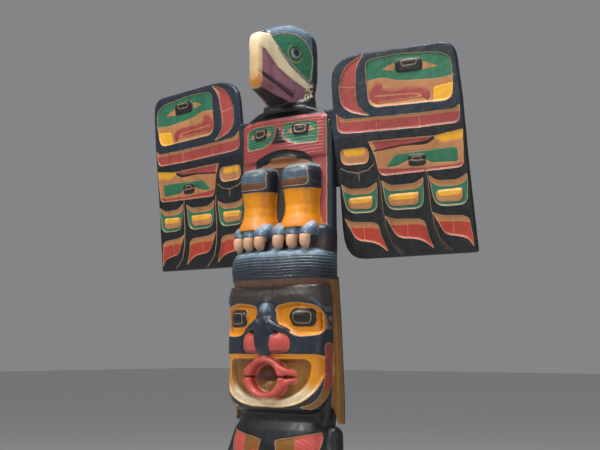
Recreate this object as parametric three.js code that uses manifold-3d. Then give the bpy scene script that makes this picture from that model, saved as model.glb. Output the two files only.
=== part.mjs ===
// A carved and painted totem pole: one flat-backed log with two wing planks let into its sides.
// A winged bird with a face on its chest perches on the broad hat of a figure with a round, calling mouth.
// Millimetres, +Z up, -Y is the front, +X the viewer's right. The origin is the centre of the underside.
import * as THREE from 'three';
import Module from 'manifold-3d';
import { mergeVertices } from 'three/addons/utils/BufferGeometryUtils.js';

const wasm = await Module();
wasm.setup();

// ---- driving dimensions -------------------------------------------------------------------------
const GAP = 0.3;
const FINEST = 1.5;
const LOG = { halfWidth: 380, front: -46, back: 75, widest: 5 };
const BASE = { height: 95, halfWidth: 440, front: -400, back: 85 };
const LEVEL = {
  kneeCap: 585, elbow: 655, hands: 800, chest: 960, shoulder: 1050, neck: 1120, chin: 1150, mouth: 1365,
  cheekLine: 1518, nostril: 1585, socketFloor: 1630, eye: 1748, brow: 1842, hatUnder: 1925, hatRim: 1985,
  hatTop: 2160, roost: 2320, shinTop: 2550, knee: 2640, plateTop: 3035, nape: 3092, crown: 3642,
};
const FACE = { halfWidth: 394, widest: -75, socketDepth: 28, cheekDepth: 12, mouthDepth: 34 };
const PLATE = { halfWidth: 350, edge: -46, crown: -90, foot: 2762, patchDepth: 6, mouthDepth: 16 };
const BELLY = { halfWidth: 350, edge: -26, crown: -48, foot: 2200 };
const LEG = { x: 174, mid: -38, back: 10 };
const WING = { thickness: 34, sweep: 3.6, lean: 6.86, height: 2628, relief: 7, cut: 10, cutsAt: [684, 1018] };
const TENON = { from: 330, to: 400, bottom: -66, top: 428 };
const FEATHERS = [
  { from: 417, to: 676, tip: 724 }, { from: 712, to: 1002, tip: 1042 }, { from: 1043, to: 1297, tip: 1310 },
];
const CUTTER = { front: -330, depth: 300, above: 40 };

const PAINT = { blueBlack: 0x2a3644, pole: 0x6b4a35 };

// ---- shapes -------------------------------------------------------------------------------------

/** Turns a closed geometry into a solid that can be joined and cut. */
function solid(geometry) {
  geometry.deleteAttribute('normal');
  geometry.deleteAttribute('uv');
  const merged = mergeVertices(geometry, 1e-3);
  const corners = merged.index.array;
  const triangles = [];
  for (let i = 0; i < corners.length; i += 3) {
    const [a, b, c] = [corners[i], corners[i + 1], corners[i + 2]];
    if (a !== b && b !== c && c !== a) triangles.push(a, b, c);
  }
  const vertProperties = new Float32Array(merged.attributes.position.array);
  return new wasm.Manifold(new wasm.Mesh({ numProp: 3, vertProperties, triVerts: new Uint32Array(triangles) }));
}

/** Places a geometry by a position, turns in degrees and a scale, and makes it solid. */
function placed(geometry, at, turn = [0, 0, 0], size = [1, 1, 1]) {
  const euler = new THREE.Euler(...turn.map(THREE.MathUtils.degToRad), 'ZYX');
  const rotation = new THREE.Quaternion().setFromEuler(euler);
  const matrix = new THREE.Matrix4().compose(new THREE.Vector3(...at), rotation, new THREE.Vector3(...size));
  geometry.applyMatrix4(matrix);
  return solid(geometry);
}

function ball(at, radii, turn = [0, 0, 0], detail = [12, 8]) {
  return placed(new THREE.SphereGeometry(1, ...detail), at, turn, radii);
}

function join(...solids) {
  return solids.reduce((whole, next) => whole.add(next));
}

function bothSides(make) {
  return make(1).add(make(-1));
}

const bulge = (value, power) => Math.sign(value) * Math.abs(value) ** power;
const snap = (value) => (Math.abs(value) < 1e-6 ? 0 : value);

/**
 * A closed body through oval rings. Each ring has its height z, half width w, the y of its front, back and
 * widest line, its centre x, and how square its front and back corners are (2 is an ellipse).
 */
function loft(rings, common = {}, sides = 24) {
  const end = new THREE.Vector2(0, 0);
  const profile = [end, ...rings.map(() => new THREE.Vector2(1, 0)), end];
  const geometry = new THREE.LatheGeometry(profile, sides);
  const position = geometry.attributes.position;
  for (let i = 0; i < position.count; i++) {
    const row = THREE.MathUtils.clamp((i % profile.length) - 1, 0, rings.length - 1);
    const ring = { ...common, ...rings[row] };
    const { z, w, front, back, widest = 0, x = 0, corner = 2, backCorner = corner } = ring;
    const across = snap(position.getX(i));
    const ahead = snap(position.getZ(i));
    const power = 2 / (ahead > 0 ? corner : backCorner);
    const reach = ahead > 0 ? front - widest : back - widest;
    position.setXYZ(i, x + w * bulge(across, power), widest + reach * Math.abs(ahead) ** power, z);
  }
  return geometry;
}

/**
 * A closed outline of straight sides. A corner [x, y, r, r2] is rounded off over r before and r2 after it, but
 * never past the middle of a side.
 */
function outline(corners, side = 1) {
  const toward = (here, there, r) => {
    const edge = there.clone().sub(here);
    return here.clone().add(edge.clone().setLength(Math.min(r, 0.49 * edge.length())));
  };
  const points = corners.map(([x, y]) => new THREE.Vector2(side * x, y));
  const shape = new THREE.Shape();
  corners.forEach(([, , r = 0, r2 = r], i) => {
    const here = points[i];
    const before = points[(i + points.length - 1) % points.length];
    const after = points[(i + 1) % points.length];
    const from = toward(here, before, r);
    const to = toward(here, after, r2);
    if (i === 0) shape.moveTo(from.x, from.y);
    else shape.lineTo(from.x, from.y);
    if (r > 0) shape.quadraticCurveTo(here.x, here.y, to.x, to.y);
  });
  shape.closePath();
  return shape;
}

function prism(shape, depth, curveSegments = 3) {
  return new THREE.ExtrudeGeometry(shape, { depth, bevelEnabled: false, curveSegments });
}

/** A prism whose outline is drawn in the x-z plane, running back from the given front y. */
function frontPrism(shape, front, depth, curveSegments = 2) {
  return placed(prism(shape, depth, curveSegments), [0, front + depth, 0], [90, 0, 0]);
}

/** A cutter of that outline, as seen from the front, that stands clear of the carving's front. */
function frontCutter(shape) {
  return frontPrism(shape, CUTTER.front, CUTTER.depth);
}

/** A thin bar between two points, to be cut as a groove. */
function bar(from, to, thickness, depth, outward) {
  const start = new THREE.Vector3(...from);
  const along = new THREE.Vector3(...to).sub(start);
  const middle = start.clone().addScaledVector(along, 0.5);
  const x = along.clone().normalize();
  const y = new THREE.Vector3(...outward).cross(x).normalize();
  const z = x.clone().cross(y);
  const geometry = new THREE.BoxGeometry(along.length(), thickness, depth);
  geometry.applyMatrix4(new THREE.Matrix4().makeBasis(x, y, z).setPosition(middle));
  return solid(geometry);
}

/** A round limb along a smooth curve through the points. */
function limb(points, radius, steps = 12, sides = 10) {
  const path = new THREE.CatmullRomCurve3(points.map((p) => new THREE.Vector3(...p)));
  const ring = Array.from({ length: sides }, (_, i) => (i / sides) * 2 * Math.PI);
  const corners = ring.map((a) => new THREE.Vector2(radius * Math.cos(a), radius * Math.sin(a)));
  const section = new THREE.Shape(corners);
  return solid(new THREE.ExtrudeGeometry(section, { steps, bevelEnabled: false, extrudePath: path }));
}

// ---- the bird -----------------------------------------------------------------------------------

/** The log from the lower figure's neck to the bird's shoulders. */
function trunk() {
  const rings = [
    { z: LEVEL.shoulder - 20, w: 362, front: -110 },
    { z: LEVEL.chin + 90, w: 392, front: -80 },
    { z: LEVEL.hatTop, w: 386 },
    { z: LEVEL.plateTop - 18, w: LOG.halfWidth },
    { z: LEVEL.plateTop + 18, w: 330 },
    { z: LEVEL.nape, w: 212, front: -80 },
  ];
  const neck = [
    { z: LEVEL.nape - 20, w: 208, front: -92 },
    { z: LEVEL.nape + 40, w: 204, front: -84 },
    { z: LEVEL.nape + 90, w: 196, front: 0 },
    { z: LEVEL.nape + 140, w: 190, front: 10 },
  ];
  return join(
    solid(loft(rings, { ...LOG, corner: 4, backCorner: 3.5 }, 18)),
    solid(loft(neck, { widest: 30, back: 62, corner: 2.4, backCorner: 5 }, 16)),
  );
}

/** The wedge-shaped head: narrow and hooked at the beak, wide at its flat back. */
function birdHead() {
  const rings = [
    { y: 62, w: 206, low: 3100, high: 3590 },
    { y: 44, w: 215, low: 3092, high: 3616 },
    { y: -20, w: 192, low: 3098, high: 3636 },
    { y: -90, w: 161, low: 3114, high: LEVEL.crown },
    { y: -165, w: 127, low: 3138, high: 3618 },
    { y: -250, w: 92, low: 3164, high: 3582 },
    { y: -308, w: 68, low: 3182, high: 3563 },
    { y: -332, w: 54, low: 3212, high: 3545 },
    { y: -340, w: 34, low: 3265, high: 3500 },
  ].map(({ y, w, low, high }) => ({ z: -y, w, front: low, back: high, widest: (low + high) / 2 }));
  const geometry = loft(rings, { corner: 4.5 }, 20);
  geometry.applyMatrix4(new THREE.Matrix4().makeRotationX(Math.PI / 2));
  return solid(geometry);
}

/** Carved lines on one side of the head: the upper edge of the beak and the gape. */
function headGrooves(side) {
  const outward = [side * 0.93, -0.37, 0];
  const beakEdge = bar([side * 64, -332, 3542], [side * 200, -30, 3222], 10, 26, outward);
  const gape = bar([side * 62, -336, 3290], [side * 186, -84, 3156], 16, 44, outward);
  return join(beakEdge, gape);
}

function headEye(side) {
  return ball([side * 160, -100, 3435], [18, 62, 46], [0, 0, side * -22], [12, 6]);
}

/** A plate on the log's front, a shallow arc in plan. An inset plate is the same form set back by that much. */
function arcPlate({ halfWidth, edge, crown, foot }, top, inset = 0) {
  const shape = new THREE.Shape();
  shape.moveTo(-halfWidth, 0);
  shape.lineTo(-halfWidth, edge + inset);
  shape.quadraticCurveTo(0, 2 * crown - edge + inset, halfWidth, edge + inset);
  shape.lineTo(halfWidth, 0);
  shape.closePath();
  return placed(prism(shape, top - foot, 8), [0, 0, foot]);
}

function chestPlate(inset = 0) {
  const plate = arcPlate(PLATE, LEVEL.plateTop, inset);
  const shoulderLine = outline([
    [-360, 2100], [360, 2100], [360, 3012], [205, 3034], [-205, 3034], [-360, 3012],
  ]);
  return plate.intersect(frontPrism(shoulderLine, -200, 220));
}

/** A shallow recess of the given outline that follows the chest's curve. */
function chestRecess(shape, depth) {
  return frontCutter(shape).subtract(chestPlate(depth));
}

function chestFace() {
  const patch = (side) => {
    const field = outline([
      [30, 2990, 30], [215, 2998, 40], [296, 2978, 25], [298, 2850, 30], [120, 2852, 50], [42, 2900, 30],
    ], side);
    const eye = outline([[104, 2982, 26], [236, 2978, 26], [226, 2905, 30], [114, 2908, 30]], side);
    return chestRecess(field, PLATE.patchDepth).subtract(frontCutter(eye));
  };
  const arch = outline([
    [-262, 2708], [-214, 2772, 40], [0, 2836, 160], [214, 2790, 40], [262, 2716],
    [214, 2745, 40], [0, 2790, 160], [-214, 2728, 40],
  ]);
  return join(bothSides(patch), chestRecess(arch, PLATE.mouthDepth));
}

/** One leg: a capped knee, a waisted shin and the flare over the foot. */
function leg(side) {
  const rings = [
    { z: 2285, w: 152, front: -192 },
    { z: 2328, w: 142, front: -184 },
    { z: 2390, w: 121, front: -160 },
    { z: 2450, w: 116, front: -152 },
    { z: LEVEL.shinTop - 2, w: 126, front: -162 },
    { z: LEVEL.shinTop + 4, w: 136, front: -172 },
    { z: LEVEL.knee + 20, w: 136, front: -176 },
    { z: LEVEL.knee + 56, w: 120, front: -160 },
    { z: LEVEL.knee + 76, w: 82, front: -124 },
  ];
  return solid(loft(rings, { x: side * LEG.x, widest: LEG.mid, back: LEG.back, corner: 3 }, 14));
}

/** Three toes with their hooked claws, hanging over the edge of the hat. */
function foot(side) {
  const toes = [74, 184, 290].map((x, i) => {
    const forward = 12 * i;
    const rings = [
      { z: 2164, w: 26, front: forward - 212, back: forward - 160 },
      { z: 2216, w: 38, front: forward - 230, back: forward - 140 },
      { z: 2256, w: 38, front: forward - 224, back: -100 },
      { z: 2259, w: 52, front: forward - 212, back: -80 },
      { z: 2300, w: 54, front: forward - 204, back: -80 },
      { z: 2340, w: 30, front: forward - 152, back: -80 },
    ];
    return solid(loft(rings, { x: side * x, widest: forward - 150 }, 8));
  });
  return join(...toes);
}

/** The ledge of wood behind the claws, wrapping round to the log's sides. */
function roost() {
  const rings = [
    { z: LEVEL.hatTop - 15, w: 386, front: -150 },
    { z: LEVEL.roost - 70, w: 388, front: -138 },
    { z: LEVEL.roost - 20, w: 384, front: -124 },
    { z: LEVEL.roost + 2, w: 360, front: -105 },
  ];
  return solid(loft(rings, { widest: LOG.widest, back: LOG.back, corner: 3.2, backCorner: 3.5 }, 18));
}

// ---- the lower figure ---------------------------------------------------------------------------

/** The broad hat, ringed with eight grooves above a plain rim that slopes in to the forehead. */
function hat() {
  const grooves = 8;
  const pitch = (LEVEL.hatTop - 25 - LEVEL.hatRim) / grooves;
  const ringed = Array.from({ length: 2 * grooves + 1 }, (_, i) => {
    const rise = i / (2 * grooves);
    const swell = 12 * Math.sin(Math.PI * (0.2 + 0.7 * rise));
    const cut = i % 2 === 1 ? 7 : 0;
    return { z: LEVEL.hatRim + (i * pitch) / 2, w: 384 + swell - cut, front: -226 - swell + cut };
  });
  const rings = [
    { z: LEVEL.hatUnder, w: 374, front: -198 },
    { z: LEVEL.hatUnder + 12, w: 378, front: -204 },
    { z: LEVEL.hatRim - 12, w: 382, front: -222 },
    ...ringed,
    { z: LEVEL.hatTop - 10, w: 372, front: -205 },
    { z: LEVEL.hatTop, w: 348, front: -178 },
  ];
  return solid(loft(rings, { widest: -25, back: LOG.back, corner: 2.6, backCorner: 4 }, 18));
}

/** The form of the head; an inset head is set back by that much all round its front. */
function headBlock(inset = 0) {
  const rings = [
    { z: LEVEL.chin - 4, w: 300, front: -150 },
    { z: LEVEL.chin + 28, w: 346, front: -196 },
    { z: LEVEL.chin + 110, w: 384, front: -216 },
    { z: LEVEL.mouth, w: FACE.halfWidth, front: -218 },
    { z: LEVEL.cheekLine, w: FACE.halfWidth, front: -214 },
    { z: LEVEL.socketFloor, w: FACE.halfWidth + 2, front: -208 },
    { z: LEVEL.brow, w: 392, front: -206 },
    { z: LEVEL.hatUnder + 20, w: 380, front: -200 },
  ].map((ring) => ({ ...ring, w: ring.w - inset, front: ring.front + inset }));
  return solid(loft(rings, { widest: FACE.widest, back: 20, corner: 3, backCorner: 5 }, 18));
}

/** The slanting hollow of one eye socket, with the bulging lid and eyeball left in it. */
function socket(side) {
  const rim = outline([
    [72, 1812, 40], [230, 1836, 60], [386, 1806, 60], [388, 1634, 40], [230, 1622, 60], [96, 1700, 50],
  ], side);
  const hollow = frontCutter(rim).subtract(headBlock(FACE.socketDepth));
  const eyeball = ball([side * 266, -148, LEVEL.eye], [98, 36, 58], [0, 0, side * 20], [12, 6]);
  return hollow.subtract(eyeball);
}

/** The hooked nose: a narrow bridge that widens down to its rounded end. */
function nose() {
  const rings = [
    { z: 1494, w: 44, front: -232 },
    { z: 1515, w: 66, front: -250 },
    { z: LEVEL.nostril, w: 82, front: -264 },
    { z: LEVEL.nostril + 70, w: 92, front: -264 },
    { z: 1715, w: 72, front: -256 },
    { z: 1790, w: 54, front: -244 },
    { z: 1822, w: 46, front: -228 },
    { z: LEVEL.brow + 6, w: 30, front: -204 },
  ];
  const bridge = solid(loft(rings, { widest: -160, back: -120, corner: 2.4 }, 12));
  const nostril = (side) => {
    const front = outline([[54, 1524], [200, 1534], [200, 1612, 40], [150, 1644, 40], [88, 1638, 40]], side);
    const bulb = ball([side * 124, -190, LEVEL.nostril], [92, 58, 82], [0, 0, side * 16]);
    return bulb.intersect(frontCutter(front));
  };
  const wingOfNose = (side) => {
    const arch = [[60, -240, 1690], [120, -226, 1668], [178, -196, 1636], [206, -176, 1580]];
    return limb(arch.map(([x, y, z]) => [side * x, y, z]), 24, 4, 6);
  };
  return join(bridge, bothSides(nostril), bothSides(wingOfNose));
}

/** The hollow around the mouth: a stepped recess inside the cheek rims. */
function mouthRecess() {
  const rim = outline([
    [-352, 1498, 60], [352, 1498, 60], [372, 1330, 90], [190, 1200, 120], [-190, 1200, 120], [-372, 1330, 90],
  ]);
  const floor = outline([
    [-292, 1468, 50], [292, 1468, 50], [300, 1330, 70], [165, 1216, 90], [-165, 1216, 90], [-300, 1330, 70],
  ]);
  return join(
    frontCutter(rim).subtract(headBlock(FACE.cheekDepth)),
    frontCutter(floor).subtract(headBlock(FACE.mouthDepth)),
  );
}

/** The pushed-out lips: a ring with a pinched, split corner at each side. */
function lips() {
  const torus = new THREE.TorusGeometry(117, 25, 6, 20);
  const ring = placed(torus, [0, -206, LEVEL.mouth], [90, 0, 0], [1.06, 0.95, 1.6]);
  const corner = (side) => {
    const pinch = outline([[105, 1432], [232, 1414, 20], [240, 1336, 20], [105, 1296]], side);
    const slit = bar([side * 112, -210, 1372], [side * 232, -170, 1374], 9, 70, [0, -1, 0]);
    return frontPrism(pinch, -192, 60).subtract(slit);
  };
  return join(ring, bothSides(corner));
}

function mouthHole() {
  return ball([0, -225, LEVEL.mouth], [100, 85, 88]);
}

/** The hood that hangs from the hat down the back corner of the log, and ends in a point below the jaw. */
function hood(side) {
  const flare = [
    { z: 1060, w: 436, front: -30 },
    { z: 1250, w: 434, front: -34 },
    { z: 1700, w: 412, front: -26 },
    { z: LEVEL.hatRim + 20, w: 390, front: -60 },
  ];
  const hanging = outline([
    [300, LEVEL.hatRim + 10], [470, LEVEL.hatRim + 10], [470, 1120], [424, 1076, 20], [366, 1250, 60],
    [350, 1400],
  ], side);
  const body = solid(loft(flare, { widest: 20, back: LOG.back, corner: 6, backCorner: 4 }, 16));
  return body.intersect(frontPrism(hanging, -100, 300));
}

/** The squatting body, plainer than the head: torso, bent arms with hands on the belly, and drawn-up legs. */
function torso() {
  const rings = [
    { z: BASE.height - 10, w: 392, front: -150 },
    { z: 420, w: 380, front: -205 },
    { z: LEVEL.elbow + 80, w: 378, front: -212 },
    { z: LEVEL.chest, w: 386, front: -196 },
    { z: LEVEL.shoulder, w: 376, front: -168 },
    { z: LEVEL.neck - 20, w: 344, front: -140 },
    { z: LEVEL.neck + 50, w: 336, front: -140 },
  ];
  return solid(loft(rings, { widest: -20, back: LOG.back, corner: 2.8, backCorner: 3.5 }, 18));
}

function arm(side) {
  const path = [
    [372, 0, 1015], [396, -40, 880], [384, -130, 730], [318, -205, LEVEL.elbow], [215, -238, 700],
    [120, -236, 770],
  ];
  const sleeve = limb(path.map(([x, y, z]) => [side * x, y, z]), 62, 8, 8);
  const handRings = [
    { z: LEVEL.hands - 60, w: 44, front: -240 },
    { z: LEVEL.hands - 20, w: 74, front: -264 },
    { z: LEVEL.hands + 60, w: 78, front: -258 },
    { z: LEVEL.hands + 112, w: 62, front: -240 },
  ];
  const hand = solid(loft(handRings, { x: side * 104, widest: -214, back: -180, corner: 3 }, 10));
  const gaps = [-38, 0, 38].map((across) => {
    const x = side * (104 + across);
    return bar([x, -262, LEVEL.hands + 10], [x, -246, LEVEL.hands + 130], 8, 36, [0, -1, 0]);
  });
  return sleeve.add(hand.subtract(join(...gaps)));
}

function squatLeg(side) {
  const rings = [
    { z: BASE.height - 5, w: 84, front: -275 },
    { z: 240, w: 80, front: -268 },
    { z: 380, w: 96, front: -296 },
    { z: 500, w: 110, front: -318 },
    { z: 560, w: 92, front: -300 },
    { z: LEVEL.kneeCap, w: 56, front: -262 },
  ];
  const shin = solid(loft(rings, { x: side * 250, widest: -190, back: -60, corner: 2.3 }, 10));
  const footRings = [
    { z: BASE.height - 5, w: 106, front: -372 },
    { z: BASE.height + 34, w: 106, front: -366 },
    { z: BASE.height + 66, w: 88, front: -320 },
  ];
  const instep = solid(loft(footRings, { x: side * 250, widest: -240, back: -200, corner: 3 }, 10));
  const gaps = [-34, 34].map((across) => {
    const x = side * (250 + across);
    return bar([x, -380, BASE.height + 34], [x, -318, BASE.height + 44], 10, 60, [0, 0, 1]);
  });
  return shin.add(instep.subtract(join(...gaps)));
}

function base() {
  const rings = [
    { z: 0, w: BASE.halfWidth, front: BASE.front },
    { z: BASE.height - 12, w: BASE.halfWidth, front: BASE.front },
    { z: BASE.height, w: BASE.halfWidth - 12, front: BASE.front + 12 },
  ];
  return solid(loft(rings, { widest: -40, back: BASE.back, corner: 2.6, backCorner: 5 }, 22));
}

// ---- the wings ----------------------------------------------------------------------------------
// A wing is drawn in its own plane: u runs out from the log's centre line, v up from the root's height.

/** Stands a wing's drawing up, swept back and leaning forward, with its front face at z = 0. */
function standWing(object, side) {
  object.position.set(0, 0, WING.height);
  object.rotation.set(
    THREE.MathUtils.degToRad(90 + WING.lean), 0, THREE.MathUtils.degToRad(side * WING.sweep), 'ZXY',
  );
  object.updateMatrix();
  return object;
}

function wingOutline(side) {
  return outline([
    [TENON.from, TENON.bottom], [400, TENON.bottom], [401, -530, 190], [700, -531], [1326, -528, 16],
    [1303, 0], [1293, 400], [1270, 724, 100], [900, 737], [392, 752, 270, 200], [390, TENON.top],
    [TENON.from, TENON.top],
  ], side);
}

const topPanel = [
  [650, 694, 60], [880, 702], [1140, 674, 30], [1246, 642, 80], [1248, 500], [1236, 378, 60], [660, 400, 70],
];
const topEye = [[862, 666, 34], [1050, 658, 34], [1044, 578, 34], [866, 586, 34]];
const innerStrip = [
  [640, 730], [585, 665, 30], [572, 560], [566, 460, 30], [592, 400, 30], [657, 353], [530, 384, 50],
  [452, 440, 60], [450, 590, 60], [520, 690, 40],
];
const redBand = [
  [416, 386], [462, 350, 30], [690, 337], [1007, 326], [1240, 322, 30], [1281, 347], [1272, 240, 40],
  [1000, 241], [486, 261, 30], [414, 275, 45],
];
const middlePanel = [
  [638, 193], [870, 187], [1085, 178], [1288, 198], [1279, -22, 40], [706, -26, 40], [672, 120, 30],
];
const middleEye = [[908, 82, 24], [1026, 78, 24], [1022, 12, 24], [912, 14, 24]];
const knuckle = [[424, 165, 40], [636, 158, 44], [630, 58, 50], [428, 66, 50]];
const featherU = ({ from, to }) => [
  [from, -58], [from + 60, -92, 30], [to - 60, -94, 30], [to, -66], [to - 8, -243, 60], [from + 28, -240, 70],
];
const featherEye = ({ from, to }) => [
  [from + 46, -146, 24], [to - 40, -146, 24], [to - 50, -226, 40], [from + 50, -224, 40],
];
const featherTip = ({ from, to, tip }) => [
  [from + 8, -276], [from + 72, -298, 25], [to - 38, -308, 25], [to - 6, -330, 15], [to + 2, -385, 20],
  [tip, -486], [to - 24, -438, 30], [to - 90, -422, 30], [from + 85, -412, 50],
];

/** The curved cuts between the feathers. */
function featherCut(at, side) {
  const width = 9;
  const spine = [[0, -20], [10, -90], [14, -225], [30, -342], [64, -440], [146, -518]];
  const right = spine.map(([u, v]) => [at + u + width / 2, v]);
  const left = spine.map(([u, v]) => [at + u - width / 2, v]).reverse();
  return outline([...right, ...left], side);
}

function wing(side) {
  const plank = solid(prism(wingOutline(side), WING.thickness, 6).translate(0, 0, -WING.thickness));
  const cutter = (shape, depth) => solid(prism(shape, CUTTER.above, 2).translate(0, 0, -depth));
  const carve = (corners) => cutter(outline(corners, side), WING.relief);
  const between = (at) => cutter(featherCut(at, side), WING.cut);
  const cuts = [
    carve(topPanel).subtract(carve(topEye)),
    carve(innerStrip),
    carve(redBand),
    carve(middlePanel).subtract(carve(middleEye)),
    carve(knuckle),
    ...FEATHERS.map((feather) => carve(featherU(feather)).subtract(carve(featherEye(feather)))),
    ...FEATHERS.map((feather) => carve(featherTip(feather))),
    ...WING.cutsAt.map(between),
  ];
  return cuts.reduce((whole, cut) => whole.subtract(cut), plank);
}

/** The slot in the log's side that takes a wing's root, wider than the root by the gap all round. */
function mortise(side) {
  const slot = outline([
    [TENON.from - GAP, TENON.bottom - GAP], [TENON.to + 20, TENON.bottom - GAP],
    [TENON.to + 20, TENON.top + GAP], [TENON.from - GAP, TENON.top + GAP],
  ], side);
  const geometry = prism(slot, WING.thickness + 2 * GAP).translate(0, 0, -WING.thickness - GAP);
  geometry.applyMatrix4(standWing(new THREE.Object3D(), side).matrix);
  return solid(geometry);
}

// ---- the whole ----------------------------------------------------------------------------------

function pole() {
  const bird = join(trunk(), birdHead().subtract(bothSides(headGrooves)), bothSides(headEye))
    .add(chestPlate().subtract(chestFace()))
    .add(arcPlate(BELLY, PLATE.foot + 10));
  const feet = join(bothSides(leg), bothSides(foot), roost());
  const head = headBlock().subtract(bothSides(socket)).subtract(mouthRecess());
  const figure = join(head, nose(), lips(), hat(), bothSides(hood)).subtract(mouthHole());
  const body = join(torso(), bothSides(arm), bothSides(squatLeg), base());
  return join(bird, feet, figure, body).simplify(FINEST).subtract(bothSides(mortise));
}

function mesh(name, body, color) {
  const { vertProperties, triVerts } = body.getMesh();
  const geometry = new THREE.BufferGeometry();
  geometry.setAttribute('position', new THREE.BufferAttribute(vertProperties, 3));
  geometry.setIndex(new THREE.BufferAttribute(triVerts, 1));
  geometry.computeVertexNormals();
  const paint = new THREE.MeshStandardMaterial({ color, roughness: 0.5, metalness: 0 });
  const part = new THREE.Mesh(geometry, paint);
  part.name = name;
  return part;
}

const totem = new THREE.Group();
totem.add(
  mesh('pole', pole(), PAINT.pole),
  standWing(mesh('wing_left', wing(-1), PAINT.blueBlack), -1),
  standWing(mesh('wing_right', wing(1), PAINT.blueBlack), 1),
);

export default totem;
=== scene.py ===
"""A carved and painted totem pole: its log and its two wing planks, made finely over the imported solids.

Each piece is shaped in millimetres, in the model's own frame, as a block of signed distances (negative in
the wood), and becomes a mesh in metres. Paint is kept on the mesh as one signed distance for each colour.
"""
import math

import bpy
import numpy as np
from mathutils import Matrix, Vector


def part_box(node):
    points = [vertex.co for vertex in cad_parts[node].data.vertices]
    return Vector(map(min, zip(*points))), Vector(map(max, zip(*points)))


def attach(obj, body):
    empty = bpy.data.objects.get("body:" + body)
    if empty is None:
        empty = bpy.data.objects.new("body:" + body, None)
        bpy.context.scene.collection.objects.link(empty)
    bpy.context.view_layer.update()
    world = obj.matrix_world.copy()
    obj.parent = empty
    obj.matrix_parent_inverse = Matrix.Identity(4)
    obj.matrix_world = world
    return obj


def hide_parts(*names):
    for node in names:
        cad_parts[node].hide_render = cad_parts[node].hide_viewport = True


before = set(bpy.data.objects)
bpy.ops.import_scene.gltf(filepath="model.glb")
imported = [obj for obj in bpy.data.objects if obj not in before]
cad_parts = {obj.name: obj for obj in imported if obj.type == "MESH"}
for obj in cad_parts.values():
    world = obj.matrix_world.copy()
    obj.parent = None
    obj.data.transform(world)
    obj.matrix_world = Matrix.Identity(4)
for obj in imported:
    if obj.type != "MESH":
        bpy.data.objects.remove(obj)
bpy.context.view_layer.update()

# ---- driving dimensions, in millimetres
MM = 0.001
# A distance that stands for "nowhere near", and how far round a body its distances are worked out.
FAR = 1000.0
NEAR = 24.0
POLE_GRID = (8.0, 7.0, 5.0)
WING_GRID = (5.0, 5.0, 6.0)
MOST_TRIANGLES = 190_000

SIDES = (-1, 1)
LOG_FRONT, LOG_BACK, LOG_WIDEST = -46, 75, 5
BASE_HEIGHT = 95
LEVEL = {
    "knee_cap": 585, "elbow": 655, "hands": 800, "chest": 960, "shoulder": 1050, "neck": 1120,
    "chin": 1150, "mouth": 1365, "lips_meet": 1374, "cheek": 1518, "nostril": 1585, "socket": 1630,
    "eye": 1748, "brow": 1842, "hat_under": 1925, "hat_rim": 1985, "hat_top": 2160, "perch": 2240,
    "ankle": 2306, "roost": 2320, "shin_top": 2550, "knee": 2640, "plate_top": 3035, "nape": 3092,
}
FACE_WIDTH = 394
HAT_RINGS = 8
HAT_PITCH = (LEVEL["hat_top"] - 25 - LEVEL["hat_rim"]) / HAT_RINGS
CHEST_PITCH = 21
WING = {"thickness": 34, "sweep": 3.6, "lean": 6.86, "height": 2628}
TENON = {"from": 330, "to": 400, "bottom": -66, "top": 428}
FEATHERS = [(417, 676, 724), (712, 1002, 1042), (1043, 1297, 1310)]
FEATHER_CUTS = (684, 1018)

# How far back the paint goes (y on the log, behind the face on a wing), and the height up to which the
# ground colour is the darker one.
POLE_PAINT_BACK, POLE_DARK = 53, 1240
WING_FIELD_BACK, WING_PAINT_BACK, WING_DARK = 16, 29, 236


# ---- signed distances
def smooth_min(a, b, blend):
    near = np.maximum(blend - np.abs(a - b), 0) / blend
    return np.minimum(a, b) - near * near * blend / 4


def smooth_max(a, b, blend):
    return -smooth_min(-a, -b, blend)


def ramp(value, start, end):
    """0 before the start, 1 after the end, smooth between them."""
    t = np.clip((value - start) / (end - start), 0, 1)
    return t * t * (3 - 2 * t)


def sunk(inside_by, depth, slope=7):
    """The depth of a field let into the wood with sloping edges."""
    return depth * ramp(inside_by, 0, slope)


def groove(off_by, width, depth):
    """The depth of a V cut along a line."""
    return depth * np.maximum(1 - np.abs(off_by) / (width / 2), 0)


def ripple(x, y, z, size):
    """A gentle, irregular swell between -1 and 1, about as far across as the size."""
    k = 2 * math.pi / size
    a = np.sin(k * (x + 0.37 * z) + 1.3) * np.sin(k * (0.81 * z - 0.52 * y) + 0.4)
    b = np.sin(k * (1.31 * y - 0.66 * x) + 2.1) * np.sin(k * (0.47 * x + 1.17 * z) + 5.2)
    return (a + b) / 2


def outline(corners, side=1):
    """A closed outline. A corner (u, v, r, r2) is rounded over r before and r2 after it."""
    points = [np.array((side * c[0], c[1]), float) for c in corners]
    path = []
    for i, corner in enumerate(corners):
        here, before, after = points[i], points[i - 1], points[(i + 1) % len(points)]
        r = corner[2] if len(corner) > 2 else 0
        r2 = corner[3] if len(corner) > 3 else r
        if not r:
            path.append(here)
            continue
        start, end = (
            here + (there - here) * min(reach / np.linalg.norm(there - here), 0.49)
            for there, reach in ((before, r), (after, r2))
        )
        for t in np.linspace(0, 1, 6):
            path.append((1 - t) ** 2 * start + 2 * t * (1 - t) * here + t * t * end)
    return np.array(path)


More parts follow.
